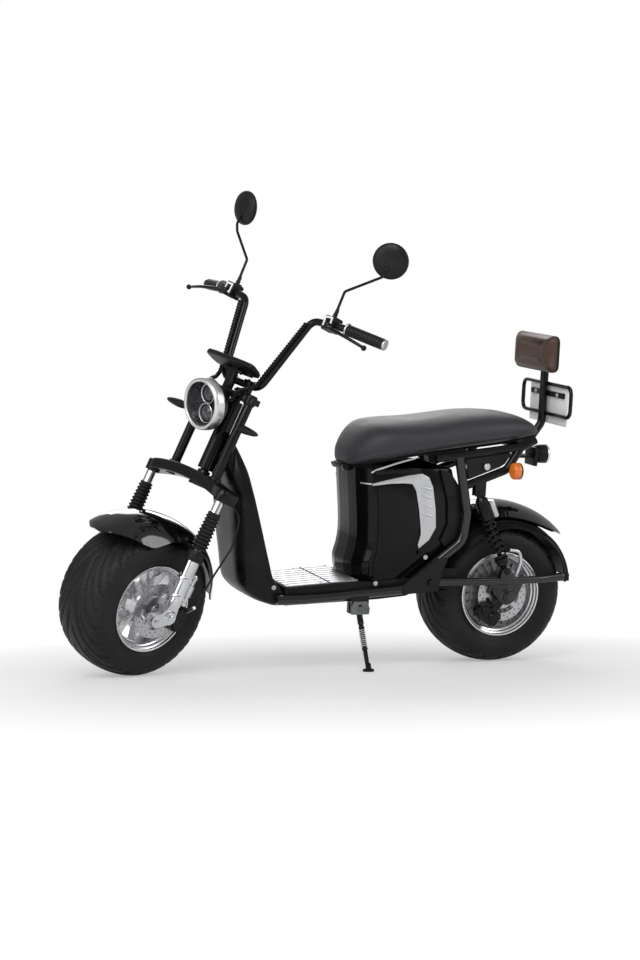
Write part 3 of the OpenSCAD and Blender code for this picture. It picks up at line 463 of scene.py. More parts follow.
def tyreSection():
    t = tyreSizes
    fine = smoothed(t["side"], 12)
    points = [(w * t["halfWidth"], t["bead"] + (t["radius"] - t["bead"]) * h) for w, h in fine]
    reach = [0.0]
    for a, b in zip(points, points[1:]):
        reach.append(reach[-1] + sqrt((a[0] - b[0]) ** 2 + (a[1] - b[1]) ** 2))
    half = []
    for k in range(t["across"] // 2 + 1):
        want = reach[-1] * k / (t["across"] // 2)
        i = max(j for j in range(len(reach)) if reach[j] <= want + 1e-6)
        i = min(i, len(points) - 2)
        share = (want - reach[i]) / (reach[i + 1] - reach[i])
        half.append((between(points[i][0], points[i + 1][0], share), between(points[i][1], points[i + 1][1], share)))
    return half, reach[-1]


def grooveDepth(angle, share, arc):
    t = tyreSizes
    side = 1 if share >= 0 else -1
    s = abs(share)
    deep = 0.0
    for offset, low, high, weight in ((0.0, 0.05, 0.60, 1.0), (0.5, 0.26, 0.56, 0.9)):
        if low - 0.03 < s < high + 0.02:
            line = t["sweep"] * (1 - s / 0.66) ** 2
            slope = 2 * t["sweep"] * (1 - s / 0.66) / 0.66 * t["radius"] / arc
            place = ((angle + side * 0.1 - line) * t["grooves"] / tau + offset) % 1
            near = min(place, 1 - place) * tau / t["grooves"] * t["radius"] / sqrt(1 + slope * slope)
            edge = min(1, max(0, (s - low) / 0.03 + 1), max(0, (high - s) / 0.02 + 1))
            deep = max(deep, weight * edge * max(0.0, min(1.0, 1.6 * (1 - near / t["halfGroove"]))))
    if 0.50 < s < 0.63:
        place = (angle * t["grooves"] * 4 / tau + side * 0.2) % 1
        near = min(place, 1 - place) * tau / t["grooves"] / 4 * t["radius"]
        deep = max(deep, 0.45 * max(0.0, min(1.0, 1.6 * (1 - near / 2.6))))
    for ring, size in ((0.80, 0.30), (0.845, 0.30), (0.95, 0.25)):
        deep = max(deep, size * max(0.0, 1 - abs(s - ring) / 0.012))
    return deep * t["depth"]


def tyre(name, space, body, node):
    t = tyreSizes
    half, arc = tyreSection()
    section = [(-w, h, -k) for k, (w, h) in enumerate(half)][:0:-1] + [(w, h, k) for k, (w, h) in enumerate(half)]
    count = t["across"] // 2
    outline = Shape(name, space)
    rings = []
    for i in range(t["steps"]):
        angle = tau * i / t["steps"]
        ring = []
        for j, (w, h, k) in enumerate(section):
            before, after = section[max(j - 1, 0)], section[min(j + 1, len(section) - 1)]
            dw, dh = after[0] - before[0], after[1] - before[1]
            size = sqrt(dw * dw + dh * dh)
            deep = grooveDepth(angle, k / count, arc)
            y, r = w + dh / size * deep, h - dw / size * deep
            ring.append((r * cos(angle), y, r * sin(angle)))
        for w, h in ((86.4, 128), (86.4, t["bead"]), (-86.4, t["bead"]), (-86.4, 128)):
            ring.append((h * cos(angle), w, h * sin(angle)))
        rings.append(ring)
    outline.rings(rings, loop=True)
    return outline.made(body, "tyre", "tyreRubber", [node], sharp=55)


tyre("frontTread", frontAxle, "front_wheel", "front_tyre")
tyre("rearTread", rearAxle, "rear_wheel", "rear_tyre")
print("tyres made")

# Mudguards: the CAD rows made finer, as shells with a wall
guards = {
    "frontGuard": {
        "space": frontAxle, "body": "steering", "node": "front_fender", "finish": "fenderBlack", "slot": "gloss_black",
        "wall": 3.5, "rows": [(31, 22, 286, 3), (36, 62, 284, 14), (42, 89, 281, 36), (50, 103, 277, 66),
                              (58, 108, 271, 77), (68, 110, 265, 68), (80, 110, 260, 52), (95, 110, 257, 44),
                              (110, 110, 256, 40), (125, 110, 256, 42), (140, 110, 256, 50), (150, 104, 256, 54),
                              (157, 90, 256, 40)]},
    "rearGuard": {
        "space": rearAxle, "body": "frame", "node": "rear_fender", "finish": "fenderBlack", "slot": "gloss_black",
        "wall": 3.5, "rows": [(68, 102, 278, 30), (80, 106, 277, 34), (96, 109, 277, 38), (110, 109, 278, 38),
                              (122, 103, 280, 34), (132, 86, 283, 24), (139, 60, 286, 12), (143, 30, 288, 4)]},
    "hugger": {
        "space": rearAxle, "body": "frame", "node": "wheel_hugger", "finish": "plasticBlack", "slot": "matte_black",
        "wall": 3.5, "rows": [(24, 112, 240, 40), (42, 116, 240, 46), (62, 116, 240, 46), (90, 116, 241, 34),
                              (115, 116, 243, 32), (138, 116, 248, 28), (155, 115, 252, 34), (170, 112, 254, 42)]},
}


def guard(name, g):
    shape = Shape(name, g["space"])
    rows = smoothed(g["rows"], 7)
    ends = 16

    def at(angle, radius, y):
        return (radius * cos(radians(angle)), y, radius * sin(radians(angle)))

    def line(row, inset):
        angle, half, crown, drop = row
        return [at(angle, crown - inset - drop * abs(j / ends) ** 2.6, (half - inset * abs(j / ends)) * j / ends)
                for j in range(-ends, ends + 1)]

    shape.sheet([line(r, 0) for r in rows], [line(r, g["wall"]) for r in rows])
    if name == "frontGuard":
        for y0, y1 in ((100, 129.5), (-129.5, -100)):
            shape.block((-16, y0, 198), (20, y1 - y0, 26))
            shape.block((-30, y0, 214), (48, y1 - y0, 8))
        for side in (-1, 1):
            for x in (-24, 12):
                shape.bolt((x, side * 116, 222), (0, 0, 1), 5, 4)
    if name == "rearGuard":
        shape.block((88, -30, 478 - 225), (51.7, 60, 8))
        for side in (-1, 1):
            shape.bolt((118, side * 18, 486 - 225), (0, 0, 1), 5, 4)
    if name == "hugger":
        for side in (-1, 1):
            for x, high in ((-212, 22), (168, 46)):
                shape.plateY([(x, 43), (x + 44, 43), (x + 44, 43 + high), (x, 43 + high)],
                             *sorted((side * 109, side * 127.7)))
        for side in (-1, 1):
            rib = [(w[0], w[2] + 1.5 - w[3] * 0.55) for w in rows]
            shape.tube([at(a, r, side * 92) for a, r in rib], 3, sides=8)
    return shape.made(g["body"], g["slot"], g["finish"], [g["node"]], sharp=50)


for name, g in guards.items():
    guard(name, g)
print("mudguards made")


# Soft pieces: a closed skin that is blown up a little as cloth, held along its seams
def puffed(piece, held, pressure, most, frames=16):
    mesh = piece.data
    start = [v.co.copy() for v in mesh.vertices]
    pins = piece.vertex_groups.new(name="seams")
    for v in mesh.vertices:
        weight = held(v.co)
        if weight > 0:
            pins.add([v.index], weight, "REPLACE")
    cloth = piece.modifiers.new("cloth", "CLOTH")
    cloth.settings.vertex_group_mass = "seams"
    cloth.settings.use_pressure = True
    cloth.settings.uniform_pressure_force = pressure
    cloth.settings.tension_stiffness = cloth.settings.compression_stiffness = 12
    cloth.settings.bending_stiffness = 1.2
    cloth.settings.effector_weights.gravity = 0
    cloth.settings.quality = 4
    cloth.point_cache.frame_start, cloth.point_cache.frame_end = 1, frames
    for step in range(1, frames + 1):
        bpy.context.scene.frame_set(step)
    done = piece.evaluated_get(bpy.context.evaluated_depsgraph_get()).data
    moved = [v.co.copy() for v in done.vertices]
    bpy.context.scene.frame_set(1)
    piece.modifiers.clear()
    piece.vertex_groups.clear()
    for v, old, new in zip(mesh.vertices, start, moved):
        step = new - old
        v.co = old + (step if step.length < most else step * (most / step.length))
    mesh.update()


seat = {
    "pan": [(524, 625.4), (520, 625.7), (485, 623.7), (430, 629.7), (350, 644.7), (250, 659.7), (150, 672.7),
            (40, 686.7), (-28, 697.4), (-98, 711)],
    "rows": [(510, 22, 0, 645), (507, 46, -7, 656), (498, 72, -9, 673), (484, 93, -8, 693), (468, 110, -6, 712),
             (450, 124, -4, 728), (427, 138, -2, 740), (392, 148, 0, 745), (350, 151, 0.5, 747),
             (300, 151, 0.5, 748.5), (250, 150, 0.5, 753.5), (200, 149, 0.5, 761), (150, 148, 0.5, 768),
             (90, 146, 0.5, 773), (30, 141, 0.5, 773), (-30, 132, 1, 768), (-70, 118, 2, 752),
             (-90, 94, 3, 736), (-98, 70, 8, 728)],
    "around": 96, "groove": 2.6, "seamShare": -0.36,
}


def level(table, x):
    for (x0, z0), (x1, z1) in zip(table, table[1:]):
        if x1 <= x <= x0:
            return between(z0, z1, (x0 - x) / (x0 - x1))
    return table[0][1] if x > table[0][0] else table[-1][1]


def seatRing(row, s):
    x, half, rise, top = row
    low = level(s["pan"], x) + rise
    mid, tall = (low + top) / 2, (top - low) / 2
    ring = []
    for j in range(s["around"]):
        a = tau * j / s["around"]
        c, up = cos(a), sin(a)
        y = abs(c) ** (0.5 if up < 0 else 0.62) * (1 if c >= 0 else -1)
        z = abs(up) ** (0.8 if up > 0 else 0.5) * (1 if up >= 0 else -1)
        wide = half * (1 - 0.05 * max(0.0, -z) ** 2 - 0.02 * max(0, z))
        dent = s["groove"] * max(0.0, 1 - abs(z - s["seamShare"]) / 0.05) if abs(c) > 0.2 else 0
        welt = 1.2 * max(0.0, 1 - abs(z + 0.9) / 0.06) if abs(c) > 0.2 else 0
        ring.append((x, (wide - dent + welt) * y, mid + tall * z))
    return ring


cushion = Shape("seatPad", parked)
cushion.rings([seatRing(r, seat) for r in smoothed(seat["rows"], 6)])
cushion = cushion.made("seat", "seat_cover", "seatLeather", ["seat_cushion"], sharp=70)
upright = parked.inverted()
puffed(cushion, lambda co: 1.0 if (upright @ co).z < level(seat["pan"], (upright @ co).x) + 30 else 0.12, 3.0, 0.004)

pan = Shape("seatBase", parked)
pan.rings([[(x, -w, z - 6), (x, w, z - 6), (x, w, z), (x, -w, z)] for x, w in
           ((503, 26), (498, 46), (485, 64), (450, 90), (350, 92), (250, 92), (150, 92), (40, 92), (-28, 92), (-40, 92))
           for z in (level(seat["pan"], x),)])
pan.lathe([(0.5, -30), (7.5, -30), (7.5, 30), (0.5, 30)], facing((512, 0, 611), (0, 1, 0)), 28)
pan.block((500, -30, 611), (16, 60, 8))
pan.made("seat", "matte_black", "plasticBlack", ["seat_pan"], bevel=1)

backPad = {"width": 248, "height": 112, "corner": 20, "steps": 12, "back": [-152 + 25.3, 0, 956],
           "rows": [(31.5, -110, -78), (31, -76, -52), (29, -44, -32), (24, -22, -16), (16, -8, -5), (8, -1, -1),
                    (3, -1, -1), (1.4, -4.5, -4.5), (0, -1.5, -1.5), (-1.1, -12, -12)]}


def roundRect(width, height, corner, steps):
    points = []
    for q, (a, b) in enumerate(((1, 1), (-1, 1), (-1, -1), (1, -1))):
        for i in range(steps + 1):
            t = pi / 2 * (q + i / steps)
            points.append((a * (width / 2 - corner) + corner * cos(t), b * (height / 2 - corner) + corner * sin(t)))
    return points


def backRing(depth, dw, dh, b):
    x, y, z = b["back"]
    corner = min(b["corner"], (b["height"] + dh) / 2 - 1)
    return [(x + depth, y + p[0], z + p[1]) for p in roundRect(b["width"] + dw, b["height"] + dh, corner, b["steps"])]


rest = Shape("backrestPad", parked)
rest.rings([backRing(*r, backPad) for r in smoothed(backPad["rows"], 3)])
rest = rest.made("frame", "backrest_cover", "brownLeather", ["backrest"], sharp=70)
puffed(rest, lambda co: 1.0 if (upright @ co).x < -126 + 4 else 0.15, 3.0, 0.003)
shell = Shape("backrestPan", parked)
shell.rings([backRing(*r, backPad) for r in ((-1.3, -4, -4), (-5, -3, -3), (-8.5, -7, -7), (-10.6, -16, -16),
                                            (-11.3, -36, -36))])
for y in (-26, 26):
    for z in (-18, 18):
        shell.bolt((-152 + 25.3 - 11, y, 956 + z), (-1, 0, 0), 5, 3.4, False)
shell.made("frame", "matte_black", "plasticBlack", ["backrest_shell"], bevel=0)
print("soft pieces made")

# Leg shield: closed shell with long ribs on the rider's side
shield = {
    "rows": [(213, 713, 752, 112), (224, 712, 786, 122), (240, 712, 812, 127), (262, 716, 834, 129),
             (288, 740, 843, 130), (350, 759, 852, 130), (430, 781, 864, 130), (513, 803, 873, 126),
             (560, 815, 880, 118), (600, 825, 886, 106), (640, 840, 881, 88), (680, 858, 877, 68), (706, 870, 875, 52)],
    "ribs": [-104, -78, -40, 40, 78, 104], "ribHigh": 3.4, "around": 120,
}


def shieldRing(row, s):
    z, rear, front, half = row
    ring = []
    for j in range(s["around"]):
        a = tau * j / s["around"]
        c, y = cos(a), sin(a)
        wide = half * abs(y) ** 0.42 * (1 if y >= 0 else -1)
        if c >= 0:
            ring.append((rear + 14 + (front - rear - 14) * c ** 0.62, wide, z))
        else:
            rise = sum(s["ribHigh"] * max(0.0, 1 - abs(wide - r * half / 130) / 5) ** 0.6 for r in s["ribs"])
            dish = 7 * max(0.0, 1 - (wide / half) ** 2)
            ring.append((rear + 14 - (14 - dish) * abs(c) ** 0.35 - rise + s["ribHigh"], wide, z))
    return ring


legShield = Shape("legShield", parked)
legShield.rings([shieldRing(r, shield) for r in smoothed(shield["rows"], 4)])
legShield = legShield.made("frame", "gloss_black", "shieldBlack", ["leg_shield"], sharp=50)

# Body: smooth front panel with its waist, side panels with a raised field, louvred trim plates, and a silver under-seat
# strip that is a painted highlight
body = {
    "rows": [(281, 480), (290, 492), (330, 498), (372, 488), (414, 484), (470, 487), (520, 492), (570, 497),
             (613.5, 500)],
    "half": 125.7, "curve": 42, "wall": 4, "steps": 24, "ribs": (0.28, 0.62),
}


def bodyLine(row, inset, b):
    z, x = row
    line = []
    for j in range(-b["steps"], b["steps"] + 1):
        s = sin(pi / 2 * j / b["steps"])
        ridge = sum(2.2 * max(0.0, 1 - abs(abs(s) - r) / 0.05) for r in b["ribs"]) if inset == 0 else 0
        line.append((x - inset * (1 - abs(s) ** 6) - b["curve"] * abs(s) ** 2.8 + ridge - 1, (b["half"] - inset) * s, z))
    return line


bodyRows = smoothed(body["rows"], 5)
bodyFront = Shape("bodyFront", parked)
bodyFront.sheet([bodyLine(r, 0, body) for r in bodyRows], [bodyLine(r, body["wall"], body) for r in bodyRows])
for side in (-1, 1):
    bodyFront.plateY([(490, 598), (512, 598), (518, 606), (518, 614), (512, 617), (490, 611)],
                     *sorted((side * 32, side * 46)))
bodyFront.lathe([(4, -46), (4, 46)], facing((512, 0, 611), (0, 1, 0)), 20)
strip = Shape("frontStrips", parked)
for side in (-1, 1):
    curve = [p for p in bodyLine((568, 497), 0, {**body, "ribs": ()}) if 92 < side * p[1]]
    strip.tube([(x + 1.5, y + side * 1.5, z + abs(side * y - 92) * 0.01) for x, y, z in curve], 3.4, sides=10)
strip.made("frame", "silver_trim", "trimSilver", sharp=60)
bodyFront.made("frame", "gloss_black", "glossBlack", ["body_front"], sharp=45)

sidePanel = {
    "outline": [(202, 613), (172, 520), (166, 440), (176, 392), (310, 288.9), (436, 281), (448, 290), (454, 330),
                (445, 372), (441, 414), (444, 470), (449, 520), (454, 570), (457, 613)],
    "field": [(250, 432), (300, 384), (330, 372), (404, 300), (436, 306), (440, 330), (430, 372), (428, 430),
              (434, 520), (440, 562), (345, 572), (322, 562), (306, 496), (297, 440)],
    "inner": (121.7, 125.7), "raised": (125, 131),
}
trim = {
    "outline": [(456, 564), (456, 571), (437, 576), (390, 586), (344, 595), (299, 600), (276, 588), (262, 559), (250, 493),
                (246, 439), (266, 402), (298, 376), (302, 387), (294, 418), (296, 440), (304, 493), (317, 550),
                (330, 569), (359, 571), (400, 570)],
    "y": (126, 134.5), "louvres": [(468, 9), (496, 9), (524, 9), (549, 9)],
}
rearInfill = {"outline": [(205, 600), (240, 612), (212, 520), (206, 450), (228, 400), (214, 380), (170, 412), (163, 440),
                          (166, 520), (176, 560)], "y": (112, 133)}
panels = Shape("sidePanels", parked)
fields = Shape("sideFields", parked)
trimsAndHighlight = Shape("sideTrims", parked)
infill = Shape("rearInfill", parked)
for side in (-1, 1):
    panels.plateY(sidePanel["outline"], *sorted(side * y for y in sidePanel["inner"]))
    fields.plateY([p for p in sidePanel["field"][2:]], *sorted(side * y for y in sidePanel["raised"]))
    trimsAndHighlight.plateY(trim["outline"], *sorted(side * y for y in trim["y"]))
    for z, high in trim["louvres"]:
        trimsAndHighlight.rings([[(262 - (549 - z) * 0.12 + 4, y, z), (303 - (549 - z) * 0.12, y, z + 9), (301 - (549 - z) * 0.12, y, z + high + 7),
                      (264 - (549 - z) * 0.12 + 4, y, z + high - 3)] for y in sorted((side * 134, side * 137.5))])
    infill.plateY(rearInfill["outline"], *sorted(side * y for y in rearInfill["y"]))
    infill.bolt((196, side * 133, 528), (0, side, 0), 5, 4, False)
    fields.bolt((312, side * 130, 292), (0, side, 0), 4.5, 4, False)
    panels.rings([[(x, y, z) for x, z in ((457, 604), (446, 611), (377, 614), (300, 614), (300, 596), (376, 600), (440, 594))]
                  for y in sorted((side * 125, side * 129))])
panels.made("frame", "gloss_black", "glossBlack", ["side_panels"], bevel=1.6)
fields.made("frame", "gloss_black", "glossBlack", bevel=2.2, width=3)
# Under-seat strip: a thin silver plate along the body's top edge below the seat, a painted highlight standing in for
# the reflection line on that curved edge
for side in (-1, 1):
    trimsAndHighlight.plateY([(462, 603), (446, 613), (377, 634), (321, 648), (319, 643), (376, 628), (440, 608), (458, 600)],
                 *sorted((side * 125.8, side * 129)))
trimsAndHighlight.made("frame", "silver_trim", "trimSilver", ["side_trims"], bevel=1.6, width=3)
infill.made("frame", "matte_black", "plasticBlack", bevel=2)

deck = {"front": 711, "top": 262.3, "rise": 16 / 243, "length": 229, "half": 132, "thick": 6,
        "bars": 9, "pitch": 29, "width": 23, "high": 4}
board = Shape("deckBoard", parked @ move(deck["front"], 0, deck["top"]) @ turn(-3.767, "Y").inverted())
base = Shape("deckBase", board.space)
base.block((-deck["length"], -deck["half"], 0), (deck["length"], 2 * deck["half"], deck["thick"]))
base.made("frame", "rubber", "softRubber", ["floor_board"], bevel=1)
for i in range(deck["bars"]):
    y = -128 + i * deck["pitch"]
    for x, size in ((-deck["length"] + 4, 84), (-deck["length"] + 94, 131)):
        board.block((x, y, deck["thick"] - 1), (size, deck["width"], deck["high"]))
for x in (-12, -deck["length"] / 2, -deck["length"] + 12):
    for y in (-118, 118):
        board.bolt((x, y * 0.97, deck["thick"] + 2), (0, 0, 1), 4, 2.4, False)
board.made("frame", "deck_metal", "deckMetal", bevel=1.2)
print("body made")

# Headlamp: bowl, bright ring, two projectors and a domed glass
lamp = {"radius": 77, "x": 118, "height": 590, "projectors": (-29, 29), "lens": 22, "glassRadius": 66}
lampSpace = onFork @ move(lamp["x"], 0, lamp["height"]) @ turn(stance["rake"], "Y") @ turn(90, "Y")
bowl = Shape("lampBowl", lampSpace)
r = lamp["radius"]
bowl.lathe(smoothed([(0.5, -70), (24, -69), (44, -62), (58, -50), (68, -34), (r - 5, -22), (r - 4, -12)], 3)
           + [(r - 12, -12), (62, -30), (40, -40), (0.5, -44)], steps=72)
for y in (-1, 1):
    bowl.bolt((-4, y * (r - 5), -22), (0, y, 0), 6, 4)
bowl.made("steering", "frame_black", "plasticBlack", ["headlamp"], sharp=35)
lampHold = Shape("lampHold", onFork)
lampHold.block((42, -18, 622), (24, 36, 23.7))
lampHold.made("steering", "frame_black", "frameBlack", bevel=2)
ring = Shape("lampRing", lampSpace)
ring.lathe([(r - 13, -12)] + smoothed([(r - 6, -26), (r - 1, -25), (r, -18), (r, -6), (r - 1.5, 1), (r - 5, 5.4), (r - 10, 6.5),
                                       (r - 13.5, 4), (r - 14, -2)], 3), steps=96, closed=True)
ring.made("steering", "silver_trim", "ringChrome", sharp=50)
inner = Shape("lampReflector", lampSpace)
inner.lathe([(0.5, -38), (30, -37), (52, -28), (62, -12), (64.5, -11), (64.5, -14), (54, -32), (0.5, -42)], steps=72)
bezel = Shape("lampBezels", lampSpace)
for x in lamp["projectors"]:
    rim = move(x, 0, -32)
    inner.lathe([(17, 0), (27, 2), (29, 10), (26, 10), (22, 4), (17, 3)], rim, 48, closed=True)
    bezel.lathe([(25.6, 9), (28.6, 9), (29.4, 12), (28, 13.6), (26, 12.4)], rim, 56, closed=True)
inner.made("steering", "lamp_body", "reflector", sharp=35)
bezel.made("steering", "silver_trim", "ringChrome", sharp=45)
eyes = Shape("lampEyes", lampSpace)
for x in lamp["projectors"]:
    eyes.lathe([(lamp["lens"] * sin(radians(t)), 9 * cos(radians(t))) for t in range(2, 91, 8)]
               + [(lamp["lens"], -4), (0.5, -4)], move(x, 0, -26), 40)
eyes.made("steering", "lamp_glass", "lensDark", sharp=35)
pane = Shape("lampPane", lampSpace)
pane.lathe([(0.5, 4.6), (20, 4.3), (40, 3), (56, 0.6), (64.5, -3), (65, -5), (55, -2.4), (30, 1.2), (0.5, 2.6)], steps=72)
pane.made("steering", "lamp_glass", "glass", ["headlamp_glass"], sharp=60)
print("headlamp made")

# Fork: chrome lower legs with collars, clamps and adjuster, tubes, bellows with round folds
fork = {"x": 44, "y": 157, "legRadius": 20, "legTop": 172, "offset": 50, "low": 206, "high": 322, "folds": 10,
        "yoke": 366, "thick": 38, "clamps": (58, 112)}
legs = Shape("forkLegs", frontAxle)
collars = Shape("forkCollars", frontAxle)
bellows = Shape("forkBellows", onFork)
tubes = Shape("forkTubes", onFork)
for side in (-1, 1):
    at = move(fork["x"] - fork["offset"], side * fork["y"], 0)
    legs.lathe([(0.5, 30), (14, 30), (18, 34), (19.6, 40), (20, 60), (20, 165), (20.6, 168), (20.6, 172), (0.5, 172)], at, 48)
    collars.lathe([(15, 172.2), (26, 172.2), (27, 175), (27, 199), (25, 204), (21, 205.6), (15, 205.6)], at, 48, closed=True)
    for z in fork["clamps"]:
        legs.lathe([(19.5, z), (24, z + 0.6), (24.6, z + 3), (24.6, z + 8), (24, z + 10.4), (19.5, z + 11)], at, 48, closed=True)
        legs.block((fork["x"] - fork["offset"] - 36, side * fork["y"] - 6, z), (16, 12, 10.5))
    column = move(fork["x"] - fork["offset"] - 33, side * fork["y"], 0)
    legs.lathe([(0.5, 44), (7, 44), (9, 48), (9, 54), (7, 56), (7, 70), (10, 72), (10, 106), (7, 108), (7, 124), (9, 126),
                (9, 134), (6, 138), (0.5, 138)], column, 24)
    for k in range(6):
        legs.lathe([(9.6, 74 + 5 * k), (11.2, 75 + 5 * k), (11.2, 77 + 5 * k), (9.6, 78 + 5 * k)], column, 24, closed=True)
    outline = [(-2, 46), (-16, 34), (-20, 8), (-16, -10), (-4, -19), (20, -34), (38, -40), (52, -37), (59, -27), (58, -14),
               (50, -6), (32, 6), (22, 24), (14, 44)]
    legs.plateY([(p[0] * 1.0, p[1]) for p in outline], *sorted((side * (fork["y"] - 16), side * (fork["y"] + 15))))
    legs.lathe([(13, 0), (13, 17), (0.5, 17)], facing((0, side * 116.6, 0), (0, side, 0)), 32)
    legs.lathe([(20, 0), (21, 4), (21, 30), (18, 33), (0.5, 33)], facing((0, side * (fork["y"] - 14), 0), (0, side, 0)), 40)
    legs.bolt((0, side * (fork["y"] + 18.6), 0), (0, side, 0), 10, 6)
    legs.bolt((40, side * (fork["y"] + 14.8), -24), (0, side, 0), 8, 5)
    folds = []
    for k in range(fork["folds"] * 6 + 1):
        share = k / (fork["folds"] * 6)
        wave = 0.5 + 0.5 * cos(tau * fork["folds"] * share)
        folds.append((19.5 - 3.2 * share + 5.6 * (1 - 0.25 * share) * (1 - wave) ** 0.7, between(fork["low"] + 0.2, fork["high"] - 8, share)))
    bellows.lathe([(14.6, fork["low"])] + folds + [(18, fork["high"] - 7.6), (18.4, fork["high"] - 1), (14.6, fork["high"])],
                  move(fork["x"], side * fork["y"], 0), 40)
    tubes.lathe([(0.5, 173), (14, 173), (14, 368), (13, 370.5), (0.5, 370.5)], move(fork["x"], side * fork["y"], 0), 48)
legs.lathe([(8, -112), (8, 112)], facing((0, 0, 0), (0, 1, 0)), 24)
legs.made("steering", "fork_chrome", "chrome", ["fork_legs"], sharp=38)
collars.made("steering", "frame_black", "plasticBlack", sharp=38)
bellows.made("steering", "rubber", "softRubber", ["fork_bellows"], sharp=60)
tubes.made("steering", "fork_chrome", "chrome", ["fork_tubes"], sharp=38)

# Yokes: smooth arch, stem and upper plate
arch = {"half": 178, "rise": 25, "depth": 72, "steps": 40}


def archHeight(y, end):
    big = (arch["half"] ** 2 + arch["rise"] ** 2) / (2 * arch["rise"])
    return end + sqrt(big * big - y * y) - (big - arch["rise"])


yoke = Shape("yokePlates", onFork)
rings = []
for j in range(-arch["steps"], arch["steps"] + 1):
    y = arch["half"] * sin(pi / 2 * j / arch["steps"])
    narrow = max(0.0, abs(y) / arch["half"] - 0.72) / 0.28
    deep = arch["depth"] - 30 * narrow ** 2.4
    low, high = archHeight(y, fork["yoke"] - 10), archHeight(y, fork["yoke"] + fork["thick"] - 16)
    rings.append([(2, y, low), (deep - 3, y, low), (deep, y, low + 3), (deep, y, high - 4), (deep - 4, y, high), (4, y, high),
                  (0, y, high - 4), (0, y, low + 3)])
yoke.rings(rings)
for side in (-1, 1):
    yoke.lathe([(15, 358), (21.5, 358), (22, 360), (22, 388), (20, 391), (15, 391)], move(44, side * 157, 0), 40)
    yoke.lathe([(0.5, 640), (17, 640), (17, 668), (14, 671), (0.5, 671)], move(34, side * 92, 0), 32)
    yoke.lathe([(14, 372), (14, 660)], move(34, side * 92, 0), 40)
    yoke.lathe([(18, 392), (18, 412), (14.2, 414)], move(34, side * 92, 0), 40)
    yoke.lathe([(12, 664), (12, 699), (0.5, 699)], move(10, side * 40, 0), 24)
    yoke.block((-7, side * 40 - 14, 690), (34, 28, 19))
    for x in (-2, 22):
        yoke.bolt((x, side * 40, 708.6), (0, 0, 1), 3.4, 4, False)
    yoke.bolt((64 - 24 * 0.5, side * 157, 374), (1, 0, 0), 5, 4, False)
    yoke.bolt((40, side * (arch["half"] - 1), 378), (0, side, 0), 6, 5)
yoke.lathe([(0.5, 372), (30, 372), (30, 404), (28, 406), (19, 407), (19, 420), (13, 421), (13, 668), (18, 668), (18, 674),
            (12, 680), (0.5, 680)], steps=48)
yoke.prism([(-24, -20), (14, -112), (44, -112), (60, -30), (60, 30), (44, 112), (14, 112), (-24, 20)], 646, 664)
yoke.made("steering", "frame_black", "frameBlack", ["yokes"], bevel=1.5)
print("fork made")

# Rear shocks: coil springs, preload rings and reservoirs
shock = {"top": (115, 542), "low": (12, 304), "coil": 17.5, "wire": 3.2, "turns": 6.5, "y": 140}
run = Vector((shock["low"][0] - shock["top"][0], 0, shock["low"][1] - shock["top"][1]))
coils = Shape("shockSprings", parked)
dampers = Shape("shockBodies", parked)
flasks = Shape("shockFlasks", parked)
for side in (-1, 1):
    at = facing((shock["top"][0], side * shock["y"], shock["top"][1]), run, (0, 1, 0))
    first, last = 88, run.length - 49
    steps = int(shock["turns"] * 28)
    path = [at @ Vector((shock["coil"] * cos(tau * shock["turns"] * k / steps), shock["coil"] * sin(tau * shock["turns"] * k / steps),
                         between(first, last, k / steps))) for k in range(steps + 1)]
    coils.tube(path, shock["wire"], sides=10)
    dampers.lathe([(0.5, 12), (11, 12), (15, 18), (19, 22), (19, 76), (21, 78), (21, 84), (9, 85), (9, 100), (7.5, 102),
                   (7.5, run.length - 46), (21, run.length - 45.5), (21, run.length - 40), (18, run.length - 38),
                   (18, run.length - 26), (12, run.length - 20), (9, run.length - 10), (0.5, run.length - 9)], at, 40)
    for k in range(5):
        dampers.lathe([(18.6, 30 + 7 * k), (20.4, 31 + 7 * k), (20.4, 33 + 7 * k), (18.6, 34 + 7 * k)], at, 40, closed=True)
    for z in (0, run.length):
        place = at @ move(0, 0, z)
        dampers.lathe([(7, -7.7), (13, -7.7), (13, 7.7), (7, 7.7)],
                      facing(place.translation, (0, 1, 0)), 32, closed=True)
        dampers.bolt(place.translation + Vector((0, side * 13.5, 0)), (0, side, 0), 7, 5)
    flask = Vector(at.translation) + run.normalized() * 24 + Vector((-27, side * 6, 0)).normalized() * 29
    flasks.lathe([(0.5, 0), (9, 1), (10, 4), (10, 48), (9, 51), (0.5, 52)], facing(flask, run, (0, 1, 0)), 28)
    dampers.tube([flask + run.normalized() * 8, Vector(at.translation) + run.normalized() * 32], 6, sides=12)
coils.made("frame", "frame_black", "frameBlack", ["rear_springs"], sharp=60)
dampers.made("frame", "frame_black", "frameBlack", ["rear_shocks"], sharp=38)
flasks.made("frame", "silver_trim", "trimSilver", sharp=38)
print("shocks made")

# Rims: stepped lips, five cast spokes in front, a finned drum at the rear
rim = {"radius": 128, "bead": 118, "half": 93, "hub": 34, "spokes": 5, "fins": 24}


def rimBarrel(shape):
    half, r = rim["half"], rim["radius"]
    lip = [(r, half), (r, half - 6), (rim["bead"], half - 6)]
    step = [(r - 0.5, half + 0.2), (r - 4, half - 0.5), (r - 6.5, half - 5), (r - 11, half - 7), (r - 12.5, half - 15),
            (r - 17, half - 17), (r - 18.5, half - 30), (r - 22, half - 33), (r - 23, half - 60)]
    profile = lip + [(p[0], -p[1]) for p in lip[::-1]] + [(p[0], -p[1]) for p in step] + step[::-1]
    shape.lathe(profile, turn(-90, "X"), 96, closed=True)


def around(outline, angle):
    return [(x * cos(angle) - z * sin(angle), x * sin(angle) + z * cos(angle)) for x, z in outline]


